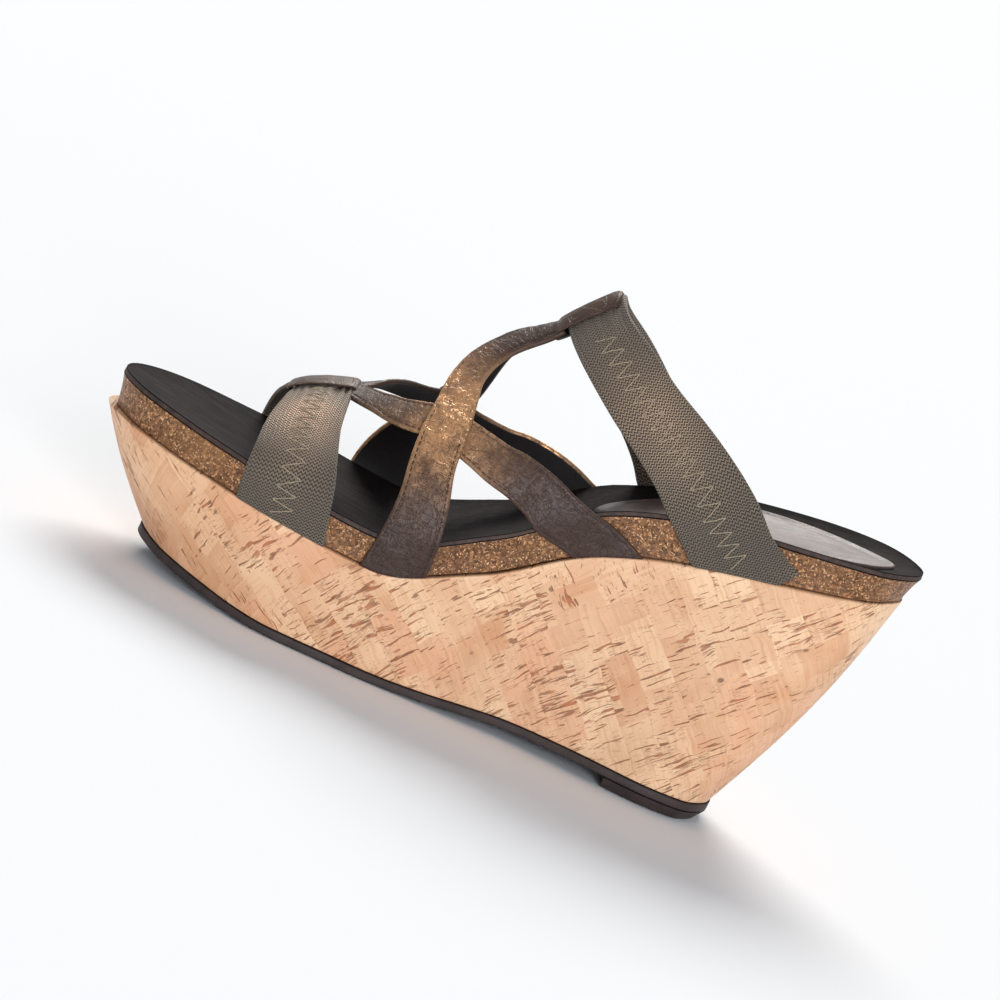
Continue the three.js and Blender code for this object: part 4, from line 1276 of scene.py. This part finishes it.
def band_loop(name, route, width, loop_width, across):
    """A leather ring round the middle of a band."""
    middle = route[len(route) // 2]
    ahead, aside, _ = form_frame(middle[0], across)
    long_half = width / 2 + 0.5
    low, high = STAND_OFF + LAYER_STEP - 0.25, STAND_OFF + LAYER_STEP + ELASTIC_THICK + 0.3

    def place(i, j):
        angle, turn = TAU * i / LOOP_ROWS, TAU * j / LOOP_CELLS
        out_share = LOOP_THICK / 2 * (1 + squared(math.cos(turn), 0.4))
        side_share = math.sin(turn)
        reach = squared(math.cos(angle), 0.35) * (long_half + out_share)
        height = (low + high) / 2 + squared(math.sin(angle), 0.6) * ((high - low) / 2 + out_share)
        pinch = 1 - 0.1 * noise.noise(Vector((reach * 0.2, side_share * 2, 1.3)))
        along = middle[0] + reach / ahead.length
        sideways = across + side_share * loop_width / 2 * pinch / aside.length
        return form_point(along, sideways) + form_frame(along, sideways)[2] * height

    def flat(i, j):
        return (i * (2 * width + 8) / LOOP_ROWS, j * 2 * loop_width / LOOP_CELLS)

    inward = lambda i, j: 1 if LOOP_CELLS * 0.3 < j < LOOP_CELLS * 0.7 else 0
    looks = [STRAP_LEATHER, LINING]
    loop = skin(name, LOOP_ROWS, LOOP_CELLS, place, flat, looks, inward)
    painted = loop.data.attributes.new("rub_and_highlight", "FLOAT", "POINT").data
    painted.foreach_set("value", [LOOP_RUB_HIGHLIGHT] * len(painted))
    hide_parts("leather_lattice")


band_loop("front_loop", TOE_BAND_ROUTE, TOE_CROWN, 10.0, -0.06)
band_loop("rear_loop", INSTEP_BAND_ROUTE, INSTEP_CROWN, 12.0, 0.0)

# %% [markdown]
# ## Floor and light
# A pale floor runs to the horizon. One broad light shines over the sandal from behind,
# so that its soft shadow falls towards the camera, and one fills the near side.
# The sky is bright at the horizon, where it meets the floor.

# %% Floor
FLOOR_REACH, FLOOR_DROP = 200, 0.0002

bm = bmesh.new()
bmesh.ops.create_grid(bm, x_segments=1, y_segments=1, size=FLOOR_REACH)
floor_mesh = bpy.data.meshes.new("floor")
bm.to_mesh(floor_mesh)
bm.free()
floor = bpy.data.objects.new("floor", floor_mesh)
bpy.context.scene.collection.objects.link(floor)
floor.location.z = -FLOOR_DROP
paper = bpy.data.materials.new("matt paper, pale blue")
paper.use_nodes = True
fill(paper.node_tree.nodes["Principled BSDF"], {"Base Color": "#EBEEF2", "Roughness": 0.9})
floor_mesh.materials.append(paper)
print("floor reaches", FLOOR_REACH, "m")

# %% Lights
def soft_sun(name, direction, angle, power, colour):
    """A broad even light that shines from a direction, the same over the whole floor."""
    data = bpy.data.lights.new(name, "SUN")
    data.angle, data.energy = math.radians(angle), power
    data.color = linear(colour)[:3]
    lamp = bpy.data.objects.new(name, data)
    lamp.rotation_mode = "QUATERNION"
    lamp.rotation_quaternion = Vector(direction).to_track_quat("Z", "Y")
    bpy.context.scene.collection.objects.link(lamp)
    print(name, power, "W per square metre")


soft_sun("overhead", (-0.1, 1.0, 1.0), 34, 2.75, "#FFFBF5")
soft_sun("near_fill", (0.25, -1.0, 0.22), 26, 1.95, "#F4F8FF")
world = bpy.data.worlds.new("pale sky")
world.use_nodes = True
sky = world.node_tree
rise = add(sky, "SeparateXYZ", add(sky, "TexCoord").outputs["Generated"]).outputs["Z"]
brightness = add(sky, "MapRange", rise, 0.06, 0.16, 1.0, 0.4)
fill(sky.nodes["Background"], {"Color": "#F9FBFD", "Strength": brightness})
bpy.context.scene.world = world
bpy.context.scene.view_settings.view_transform = "Standard"
